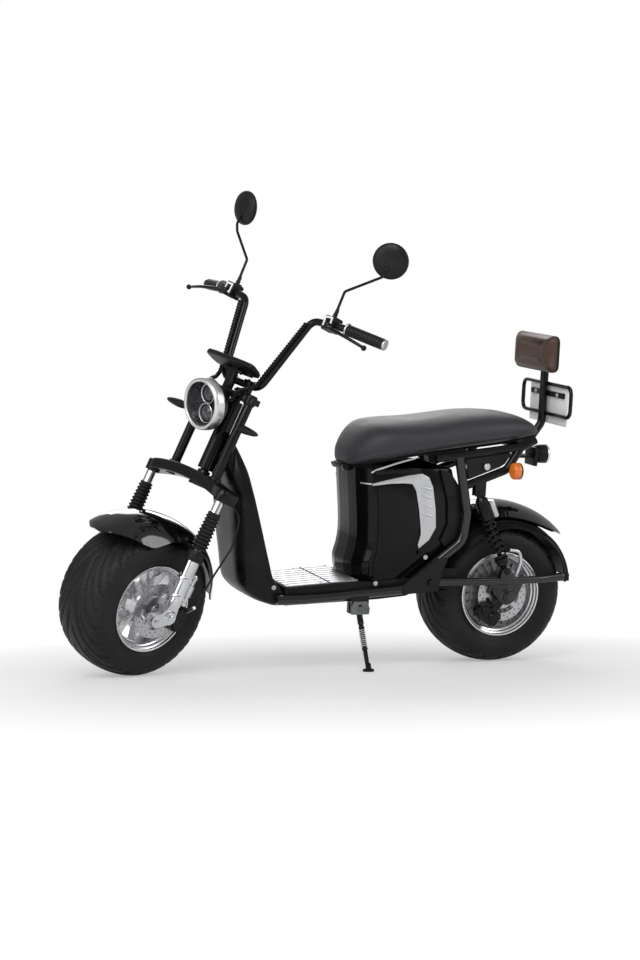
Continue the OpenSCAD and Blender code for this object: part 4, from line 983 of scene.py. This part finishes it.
frontRim = Shape("frontRim", frontAxle)
rimBarrel(frontRim)
arm = {"front": [(20, -20), (50, -15), (78, -26), (112, -44), (112, -20), (96, -10), (86, 2), (94, 14), (112, 22), (112, 44),
                 (80, 30), (52, 17), (20, 20)]}
for k in range(rim["spokes"]):
    a = tau * k / rim["spokes"] + 0.3
    frontRim.plateY(around(arm["front"], a), 12, 46)
    frontRim.plateY(around([(30, -5), (84, -5), (90, 0), (84, 5), (30, 5)], a), 46, 52)
frontRim.lathe([(8.2, -117), (22, -117), (22, -64), (34, -60), (46, -12), (58, 2), (60, 12), (58, 40), (40, 52), (34, 60), (34, 92),
                (40, 92), (40, 107.5), (22, 107.5), (22, 116), (8.2, 116)], turn(-90, "X"), 64, closed=True)
frontRim.made("front_wheel", "rim_metal", "rimMetal", ["front_rim"], bevel=2.5, sharp=36, width=3)
rearRim = Shape("rearRim", rearAxle)
rimBarrel(rearRim)
rearRim.made("rear_wheel", "rim_metal", "rimMetal", sharp=36)
drum = Shape("rearDrum", rearAxle)
drum.lathe([(8.2, -111), (22, -111), (22, -84), (46, -80), (50, -66), (105, -62), (109, -58), (109, 58), (105, 62), (92, 63),
            (88, 68), (60, 69), (50, 72), (48, 80), (40, 80), (40, 99.5), (22, 99.5), (22, 111), (8.2, 111)], turn(-90, "X"), 72,
           closed=True)
for k in range(rim["fins"]):
    for y in (-73, 61):
        drum.plateY(around([(52, -2), (101, -2.4), (101, 2.4), (52, 2)], tau * k / rim["fins"]), y, y + 12)
drum.made("rear_wheel", "rim_metal", "castMetal", ["rear_rim"], bevel=0.8, sharp=36)
print("rims made")

# Brakes: bolts and hose ends on the callipers
brakes = [("frontCalliper", "steering", frontAxle, 132, 72, 178), ("rearCalliper", "frame", rearAxle, 122, 74, -50)]
for name, body, space, y, mid, angle in brakes:
    extra = Shape(name, space @ turn(-angle, "Y"))
    extra.lathe([(15, -1), (15, 3), (13, 5), (0.5, 5)], facing((mid - 2, y, 15), (0, 1, 0)), 28)
    extra.lathe([(15, -1), (15, 3), (13, 5), (0.5, 5)], facing((mid - 2, y, -17), (0, 1, 0)), 28)
    for z in (-31, 31):
        extra.bolt((mid, y - 0.5, z), (0, 1, 0), 4.4, 5)
    extra.made(body, "frame_black", "frameBlack", sharp=38)

# Swingarm: rounded bars, plates with the axle's nuts, silver pivot bolts
swing = {"rows": [(266, 277, 14, 13), (240, 276.5, 14, 12.4), (60, 275, 12.6, 12), (-90, 277, 12.4, 11.6), (-130, 279, 12, 9.6),
                  (-186, 284, 12, 7.6)], "y": 140, "axle": 225}
arms = Shape("swingarmBars", parked)
for side in (-1, 1):
    rings = []
    for x, z, high, wide in smoothed(swing["rows"], 4):
        ring = [(abs(cos(t)) ** 0.7 * (1 if cos(t) >= 0 else -1), abs(sin(t)) ** 0.7 * (1 if sin(t) >= 0 else -1))
                for t in (tau * j / 24 for j in range(24))]
        rings.append([(x, side * swing["y"] + wide * a, z + high * b * 0.93) for a, b in ring])
    arms.rings(rings)
    arms.lathe([(7.3, -12), (19, -12), (20, -10), (20, 10), (19, 12), (7.3, 12)],
               facing((262, side * swing["y"], 277), (0, 1, 0)), 40, closed=True)
    arms.plateY([(58, 270), (52, 262), (29, 216), (18, 206), (-18, 206), (-29, 216), (-52, 262), (-58, 270)],
                *sorted((side * 128, side * 137)))
    arms.lathe([(0.5, 112.6), (15, 112.6), (15, 128), (25, 128.5), (25, 138), (23, 139), (15, 139), (14, 146), (0.5, 146)]
               if side > 0 else [(0.5, -112.6), (15, -112.6), (15, -128), (25, -128.5), (25, -138), (23, -139), (15, -139),
                                 (14, -146), (0.5, -146)], facing((0, 0, swing["axle"]), (0, 1, 0)), 40)
    arms.bolt((0, side * 143, swing["axle"]), (0, side, 0), 10, 9)
    for y in (128, 148):
        arms.plateY([(34, 280), (26, 309), (20, 314), (4, 314), (-2, 309), (-10, 280)],
                    *sorted((side * y, side * (y + 4))))
    arms.lathe([(0.5, -12), (6, -12), (6, 18), (0.5, 18)], facing((12, side * swing["y"], 304), (0, side, 0)), 24)
    arms.bolt((12, side * 152, 304), (0, side, 0), 6, 6)
arms.lathe([(7.4, -127), (15, -127), (15, 127), (7.4, 127)], facing((262, 0, 277), (0, 1, 0)), 32, closed=True)
arms.lathe([(0.5, -128), (8, -128), (8, 128), (0.5, 128)], facing((0, 0, swing["axle"]), (0, 1, 0)), 24)
arms.made("frame", "frame_black", "tubeBlack", ["swingarm"], bevel=0.8, sharp=38)
loops = Shape("sideTubes", parked)
for side in (-1, 1):
    loops.tube([(x, side * 140, z) for x, z in ((742, 233), (655, 233.8), (345, 256), (160, 400), (150, 480), (186, 652))],
               14.5, 58, 28, 10)
loops.made("frame", "frame_black", "tubeBlack", sharp=60)
stay = Shape("hubStay", parked)
stay.tube([(-6, 124, 366), (-40, 125, 362), (-46, 126, 330), (-20, 127, 252)], 6, 20, 12)
stay.made("frame", "silver_trim", "trimSilver", sharp=50)
fixings = Shape("sideFixings", parked)
for x, z in ((161, 622), (284, 354), (440, 279), (749, 269), (208, 541)):
    for side in (-1, 1):
        y = {208: 126, 749: 131}.get(x, 140 if x == 161 else 153)
        fixings.bolt((x, side * y, z), (0, side, 0), 5, 4, False)
for side in (-1, 1):
    fixings.bolt((262, side * 152, 277), (0, side, 0), 9, 7)
    fixings.lathe([(10, 0), (10, 3), (8.5, 4), (8.5, 2.6), (2.2, 2.6), (2.2, 1.4), (0.5, 1.4)],
                  facing((97, side * 148, 622), (0, side, 0)), 32)
fixings.made("frame", "silver_trim", "trimSilver", sharp=38)
print("swingarm made")

# Handlebar, grips, switch boxes, levers, mirrors and looms
bars = {"points": [(10, 0, 696), (10, 80, 696), (-8, 147, 936), (-14, 262, 944), (-62, 383, 944)], "radius": 11,
        "lever": [(12, 226, 932), (28, 262, 926), (22, 320, 919), (4, 392, 908)],
        "loom": [(11, 147, 921), (27.8, 82, 702), (42, 74, 683), (68, 66, 669), (70, 53, 630)],
        "hose": [(-3.4, 130, 380), (-40, 176, 336), (-46, 186, 250), (-30, 182, 160), (-14, 181, 60), (-36, 135.3, 30)],
        "stem": [(-14, 216, 956), (-10, 216, 1044), (-20, 320, 1118), (-14, 327, 1138)],
        "mirror": {1: (-16, 327, 1166, 36), -1: (-16, 325, 1192, 4)}, "droop": 19}
handle = Shape("handlebar", onFork)
handle.tube(mirrorY(bars["points"][:0:-1]) + bars["points"][1:], bars["radius"], 38, 28, 10)
handle.made("steering", "frame_black", "frameBlack", ["handlebar"], sharp=60)
ends = [Vector(p) for p in bars["points"]]
gripWay, boxWay = (ends[4] - ends[3]).normalized(), (ends[3] - ends[2]).normalized()
gripAt, boxAt = facing(ends[4] - gripWay * 116, gripWay), facing(ends[3] - boxWay * 62, boxWay)
rubber = [(11.3, 5), (16, 5), (16.5, 7)]
for k in range(12):
    z = 10 + 8.4 * k
    rubber += [(16.5, z), (16.5, z + 5.4), (15.4, z + 6.2), (15.4, z + 7.6)]
rubber += [(16.5, 112), (16.5, 120), (15, 121.6), (11.3, 121.6)]


def evenly(points, step):
    path, made, left = [Vector(p) for p in points], [], 0.0
    for a, b in zip(path, path[1:]):
        run = (b - a).length
        while left <= run:
            made.append(a.lerp(b, left / run))
            left += step
        left -= run
    return made


for name, side in (("Left", 1), ("Right", -1)):
    space = onFork @ Matrix.Scale(side, 4, (0, 1, 0))
    grip = Shape("grip" + name, space @ gripAt)
    grip.lathe(rubber, steps=36, closed=True)
    grip.made("steering", "rubber", "softRubber", sharp=30)
    cap = Shape("gripEnds" + name, space @ gripAt)
    cap.lathe([(11.3, 0), (19.5, 0), (20.5, 1), (20.5, 4), (19.5, 5), (11.3, 5)], steps=40, closed=True)
    cap.lathe([(0.5, 121.8), (15.4, 121.8), (16, 123), (16, 127), (14.5, 129), (0.5, 129)], steps=40)
    cap.made("steering", "silver_trim", "trimSilver", sharp=38)
    box = Shape("switchBox" + name, space @ boxAt)
    box.block((-20, -20, 0), (42, 44, 18.6))
    box.block((-20, -20, 19.4), (42, 44, 20.6))
    box.made("steering", "matte_black", "plasticBlack", bevel=5, sharp=30, width=4)
    frame = Shape("switchFrame" + name, space @ boxAt)
    frame.rings([[(-20 - h, 5 + y * s, 20 + z * s) for y, z in ((-15, -15), (15, -15), (15, 15), (-15, 15))]
                 for s, h in ((1, -1), (1, 2), (0.62, 2), (0.62, -1))], loop=True, caps=False)
    frame.made("steering", "plate_white", "plateWhite", bevel=0.4)
    keys = Shape("switchKeys" + name, space @ boxAt)
    keys.block((-21.6, -3, 11), (3, 16, 8))
    keys.block((-21.2, -3, 21), (3, 16, 8))
    keys.lathe([(0.5, 0), (6, 0), (6, 3), (4.6, 4), (0.5, 4)], facing((10, 23.6, 12), (0, 1, 0)), 24)
    keys.made("steering", "matte_black", "plasticBlack", bevel=1)
    lever = Shape("lever" + name, space)
    lever.tube(bars["lever"], [5.5] * 8 + [5] * 7 + [4.4], 30, 20, 6)
    tip = Vector(bars["lever"][-1])
    lever.lathe([(8 * sin(radians(t)) + 0.01, -8 * cos(radians(t))) for t in range(0, 181, 15)], move(*(tip + Vector((0, -3, 0)))), 24)
    lever.lathe([(0.5, -10), (9, -10), (10, -8), (10, 8), (9, 10), (0.5, 10)], move(10, 228, 932), 24)
    lever.block((-6, 216, 926), (20, 20, 12))
    lever.made("steering", "frame_black", "frameBlack", bevel=0.8, sharp=45)
    stem = Shape("mirrorStem" + name, space)
    x, y, z, angle = bars["mirror"][side]
    look = space @ move(x, y, z) @ turn(angle, "Z") @ turn(90 + bars["droop"], "Y")
    joint = (space.inverted() @ look) @ Vector((22, 0, 13))
    stem.tube(bars["stem"] + [joint], 4, 12, 16, 6)
    stem.lathe([(0.5, 950), (8.5, 950), (8.5, 958), (7, 959), (7.6, 966), (6.4, 968), (7, 975), (5.6, 977), (6, 984), (4, 992),
                (0.5, 992)], move(-14, 216, 0), 24)
    stem.lathe([(0.5, -6), (5, -6), (8, -2), (8, 3), (5, 7), (0.5, 8)], move(*joint), 24)
    stem.made("steering", "matte_black", "plasticBlack", sharp=50)
    shell = Shape("mirrorShell" + name, look)
    shell.lathe([(47.5, -4)] + smoothed([(48, -6), (51, -5.4), (52, -3), (51.4, 1), (49, 4.6), (42, 8.4), (30, 12), (14, 14.5),
                                         (0.5, 15)], 3) + [(0.5, -4)], steps=64)
    shell.made("steering", "matte_black", "loomBlack", sharp=40)
    pane = Shape("mirrorGlass" + name, look)
    pane.lathe([(0.5, -4.9), (24, -4.8), (47.3, -4.2), (47.6, -3.6), (0.5, -3.6)], steps=64)
    pane.made("steering", "silver_trim", "mirrorGlass", sharp=60)
    loom = Shape("loom" + name, space)
    path = evenly(rounded(bars["loom"], 14), 1.5)
    loom.tube(path, [4.4 if k % 6 < 2 else 6.4 for k in range(len(path))], sides=14)
    loom.made("steering", "rubber", "loomBlack", sharp=25)
for node, piece in (("grips", "gripLeft"), ("controls", "switchBoxLeft"), ("mirrors", "mirrorShellLeft"), ("cables", "loomLeft")):
    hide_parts(node)
hose = Shape("brakeHose", onFork)
hose.tube(evenly(rounded(bars["hose"], 60, 14), 6), 3, sides=14)
hose.made("steering", "rubber", "softRubber", sharp=60)
hoseEnds = Shape("hoseEnds", onFork)
hoseEnds.tube([(-3.4, 130, 380), (-13, 142, 368)], 4.6, sides=16)
hoseEnds.tube([(-17, 176, 52), (-36, 135.3, 30)], 4.6, sides=16)
hoseEnds.made("steering", "silver_trim", "trimSilver", sharp=40)
print("controls made")

# Dash, indicators, tail lamp, rack and number plate
panel = {"outline": [(0, -56), (10, -62), (14, -92), (34, -102), (62, -104), (72, -96), (76, -60), (76, 60), (72, 96), (62, 104),
                     (34, 102), (14, 92), (10, 62), (0, 56)]}
board = Shape("dashShell", onFork @ move(60, 0, 733) @ turn(-18, "Y") @ move(-36, 0, -7))
board.prism(panel["outline"], 0, 14)
board.made("steering", "matte_black", "plasticBlack", ["dash"], bevel=4, sharp=30, width=4)
post = Shape("dashPost", onFork)
post.block((47, -14, 664.3), (14, 28, 64))
post.block((42, -40, 716), (22, 80, 6))
for y in (-30, 30):
    post.bolt((54, y, 716), (0, 0, -1), 4, 4)
post.made("steering", "frame_black", "frameBlack", bevel=1.5)
display = Shape("dashDisplay", onFork @ move(60, 0, 733) @ turn(-18, "Y") @ move(-36, 0, -7))
display.prism([(38 + (x - 38) * 0.8, y * 0.84) for x, y in panel["outline"]], 13.2, 14.5)
display.made("steering", "lamp_glass", "lensDark", bevel=0.6)
for name, side in (("Left", 1), ("Right", -1)):
    blinker = Shape("frontIndicator" + name, onFork @ Matrix.Scale(side, 4, (0, 1, 0)))
    blinker.rings([[(x + a * cos(tau * j / 24), y, 570 + b * sin(tau * j / 24)) for j in range(24)] for y, x, a, b in
                   smoothed([(106.3, 34, 6, 5), (118, 46, 8, 7), (128, 57, 12, 9.6), (140, 64, 15, 12), (158, 64.6, 14.6, 11.6),
                             (175, 64, 13, 10), (192, 62.6, 9.6, 7.4), (202, 61.6, 5, 4), (206, 61, 1, 1)], 3)])
    blinker.made("steering", "matte_black", "plasticBlack", ["front_indicators"] if side > 0 else [], sharp=50)
    signal = Shape("rearIndicator" + name, parked @ move(4, side * 179, 613) @ turn(90, "Y"))
    signal.lathe([(0.5, 3), (23, 3)] + smoothed([(24.4, 4), (25, 8), (25, 18), (23.4, 23), (19, 26), (10, 27.4)], 3) + [(0.5, 27.8)],
                 steps=48)
    signal.made("frame", "amber", "amber", ["rear_indicators"] if side > 0 else [], sharp=40)
    holder = Shape("indicatorHolder" + name, parked @ Matrix.Scale(side, 4, (0, 1, 0)))
    holder.lathe([(0.5, -2), (22, -2), (24.6, 0), (25, 3.2), (0.5, 3.2)], move(4, 179, 613) @ turn(90, "Y"), 40)
    holder.tube([(21.5, 152.9, 622), (20, 166, 620), (6, 176, 614)], 5.6, 8, 16)
    holder.made("frame", "matte_black", "plasticBlack", sharp=40)
tail = Shape("tailLamp", parked)
tail.lathe([(0.5, 0)] + smoothed([(18, 0), (24, 4), (28, 14), (28.6, 38)], 3) + [(0.5, 38)], facing((-130, 0, 642), (-1, 0, 0)), 48)
tail.block((-129, -34, 608), (10, 68, 56))
tail.block((-118, -24, 632), (90, 48, 8))
tail.block((-72, -10, 636), (12, 20, 33))
tail.made("frame", "matte_black", "plasticBlack", ["tail_lamp"], bevel=1.2, sharp=38)
tailRing = Shape("tailRing", parked @ facing((-130, 0, 642), (-1, 0, 0)))
tailRing.lathe([(24, 38), (29, 38), (29, 43), (27, 45), (24, 45)], steps=56, closed=True)
tailRing.made("frame", "silver_trim", "ringChrome", sharp=45)
tailLens = Shape("tailLens", parked @ facing((-130, 0, 642), (-1, 0, 0)))
tailLens.lathe([(0.5, 37), (24, 37), (24, 43)] + smoothed([(22, 44.6), (14, 46.6), (0.5, 47.4)], 4), steps=48)
tailLens.made("frame", "lamp_glass", "redLens", sharp=50)
back = {"post": [(-30.3, 0, 681), (-112, 0, 684), (-152, 0, 740), (-152, 0, 962)], "loopX": -164, "half": 156, "low": 768,
        "high": 860}
rackTubes = Shape("rackTubes", parked)
rackTubes.tube(back["post"], 12.5, 40, 28, 10)
loop = [(back["loopX"], y, z) for y, z in ((0, back["low"]), (back["half"], back["low"]), (back["half"], back["high"]),
                                           (-back["half"], back["high"]), (-back["half"], back["low"]), (0, back["low"]))]
rackTubes.tube(loop, 6, 26, 20, 8)
rackTubes.block((-142.7, -40, 926), (4, 80, 60))
rackTubes.made("frame", "frame_black", "frameBlack", ["rack"], bevel=0.8, sharp=45)
plate = Shape("numberPlate", parked)
outline = rounded([(y, z, 0) for y, z in ((0, 738), (122, 738), (122, 854), (-122, 854), (-122, 738), (0, 738))], 8, 5)[:-1]
plate.rings([[(x, p.x, p.y) for p in outline] for x in (-174.3, -171.3)])
plate.rings([[(x, p.x * s, 796 + (p.y - 796) * (1 - (1 - s) * 2.1)) for p in outline] for x, s in
             ((-171.2, 0.955), (-170.6, 0.95), (-170.6, 0.93), (-171.2, 0.925))], caps=False, loop=True)
plate.made("frame", "plate_white", "plateWhite", ["number_plate"], bevel=0.4)
holdPlate = Shape("plateBracket", parked)
holdPlate.block((-171, -106, 822), (8, 212, 16))
holdPlate.made("frame", "matte_black", "plasticBlack", bevel=1.5)
plateBolts = Shape("plateBolts", parked)
for y in (-70, 70):
    plateBolts.bolt((-163, y, 830), (1, 0, 0), 5, 4)
plateBolts.made("frame", "silver_trim", "trimSilver", sharp=38)

# Side stand: flat eye, tapered leg with a spring round it, foot pad
stand = {"pivot": (485, 140, 206), "foot": (470, 205, 28.3), "thick": 10, "spring": (66, 118), "turns": 9}
way = Vector(stand["foot"]) - Vector(stand["pivot"])
pin = way.normalized().cross(Vector((-1, 0, 0))).normalized()
side = pin.cross(way.normalized())
standSpace = parked @ Matrix.Translation(stand["pivot"]) @ Matrix((way.normalized(), side, pin)).transposed().to_4x4()
leg = Shape("standLeg", standSpace)
leg.lathe([(6.2, -5), (13, -5), (14, -4), (14, 4), (13, 5), (6.2, 5)], steps=36, closed=True)
leg.lathe([(0.5, -20), (6, -20), (6, 20), (0.5, 20)], steps=24)
leg.block((4, -8, -5), (46, 16, 10))
leg.lathe([(0.5, 44), (7.5, 44), (7.5, 54), (7, 60), (6.4, way.length - 8), (0.5, way.length - 8)], facing((0, 0, 0), (1, 0, 0)), 28)
leg.lathe([(0.5, 58), (9, 58), (9, 64), (0.5, 64)], facing((0, 0, 0), (1, 0, 0)), 24)
leg.lathe([(0.5, 120), (9, 120), (9, 126), (0.5, 126)], facing((0, 0, 0), (1, 0, 0)), 24)
leg.made("side_stand", "frame_black", "frameBlack", bevel=0.6, sharp=40)
coil = Shape("standSpring", standSpace)
count = stand["turns"] * 20
coil.tube([(between(*stand["spring"], k / count), 9 * cos(tau * stand["turns"] * k / count), 9 * sin(tau * stand["turns"] * k / count))
           for k in range(count + 1)], 1.3, sides=8)
coil.made("side_stand", "silver_trim", "trimSilver", sharp=60)
foot = Shape("standFoot", Matrix.Scale(0.001, 4) @ Matrix.Translation((parked @ Vector(stand["foot"])) * 1000))
foot.lathe([(0.5, 0), (15.5, 0), (17, 1.5), (17, 6), (15, 8), (9, 9), (8, 16), (7.6, 22), (4, 25), (0.5, 26)], steps=40)
foot.made("side_stand", "frame_black", "frameBlack", ["side_stand"], sharp=40)
bracket = Shape("standBracket", parked)
bracket.rings([[(x, y, z) for x, z in ((457, 187.5), (513, 187.5), (515, 205), (506, 226), (464, 226), (455, 205))]
               for y in (154.2, 157)])
bracket.bolt((485, 157, 206), (0, 1, 0), 6.5, 5)
bracket.made("frame", "frame_black", "caseGrey", bevel=1, sharp=38)
print("tail and rack made")
# Camera, floor and light
view = {"eye": (2.38647, 5.9262, 0.69145), "aim": (-0.01169, -0.1147, 0.55474), "focal": 2176.9, "imageHeight": 960,
        "sensor": 36}
camera = bpy.data.objects.new("camera", bpy.data.cameras.new("camera"))
bpy.context.scene.collection.objects.link(camera)
camera.data.sensor_width = view["sensor"]
camera.data.lens = view["focal"] / view["imageHeight"] * view["sensor"]
camera.location = view["eye"]
camera.rotation_euler = (Vector(view["aim"]) - Vector(view["eye"])).to_track_quat("-Z", "Y").to_euler()
camera.data.clip_end = 60
bpy.context.scene.camera = camera


def paleStage(name, size, height):
    f = Finish(name)
    tone = f.mix((0.8, 0.8, 0.8), (0.84, 0.84, 0.84), f.noise(3, 2))
    floor = f.node("ShaderNodeBsdfPrincipled", {}, {"Base Color": tone, "Roughness": 0.9})
    bright = f.node("ShaderNodeEmission", {}, {"Color": (1.0, 1.0, 1.0), "Strength": 1.0})
    path = {k: f.node("ShaderNodeLightPath", {}, {}, k) for k in ("Is Camera Ray", "Is Glossy Ray")}
    seen = path["Is Camera Ray"] + path["Is Glossy Ray"] * 0.35
    far = (f.along(0) ** 2.0 * 0.6 + (f.along(1) + -0.1) ** 2.0).span(0.25, 1.6, 0.38, 1.0)
    both = f.node("ShaderNodeMixShader", {}, {0: seen * far, 1: floor, 2: bright})
    f.node("ShaderNodeOutputMaterial", {}, {"Surface": both}, None)
    mesh = bpy.data.meshes.new(name)
    half = size / 2
    mesh.from_pydata([(-half, -half, height), (half, -half, height), (half, half, height), (-half, half, height)],
                     [], [(0, 1, 2, 3)])
    mesh.materials.append(f.material)
    made = bpy.data.objects.new(name, mesh)
    bpy.context.scene.collection.objects.link(made)
    return made


paleStage("floor", 60, -0.0005)
lamps = [("key", (3.2, 4.6, 4.8), 3.6, 190), ("side", (-4.2, 3.6, 2.6), 2.6, 70), ("front", (4.8, 1.4, 2.4), 3.4, 60),
         ("back", (-1.5, -4.8, 3.4), 3.0, 90)]
for name, at, size, power in lamps:
    light = bpy.data.lights.new(name, "AREA")
    light.size, light.energy = size, power
    lamp = bpy.data.objects.new(name, light)
    lamp.location = at
    lamp.rotation_euler = (Vector((0, 0, 0.5)) - Vector(at)).to_track_quat("-Z", "Y").to_euler()
    bpy.context.scene.collection.objects.link(lamp)
world = bpy.data.worlds.new("studio")
bpy.context.scene.world = world
world.use_nodes = True
sky = world.node_tree
sky.nodes.clear()
path = sky.nodes.new("ShaderNodeLightPath")
dim, plain = sky.nodes.new("ShaderNodeBackground"), sky.nodes.new("ShaderNodeBackground")
dim.inputs[0].default_value, dim.inputs[1].default_value = (1, 1, 1, 1), 0.34
plain.inputs[0].default_value, plain.inputs[1].default_value = (1, 1, 1, 1), 1.0
either, joined = sky.nodes.new("ShaderNodeMath"), sky.nodes.new("ShaderNodeMixShader")
either.operation = "MAXIMUM"
sky.links.new(path.outputs["Is Camera Ray"], either.inputs[0])
sky.links.new(path.outputs["Is Transmission Ray"], either.inputs[1])
sky.links.new(either.outputs[0], joined.inputs[0])
sky.links.new(dim.outputs[0], joined.inputs[1])
sky.links.new(plain.outputs[0], joined.inputs[2])
sky.links.new(joined.outputs[0], sky.nodes.new("ShaderNodeOutputWorld").inputs[0])
bpy.context.scene.view_settings.view_transform = "Standard"
print("camera and light set")
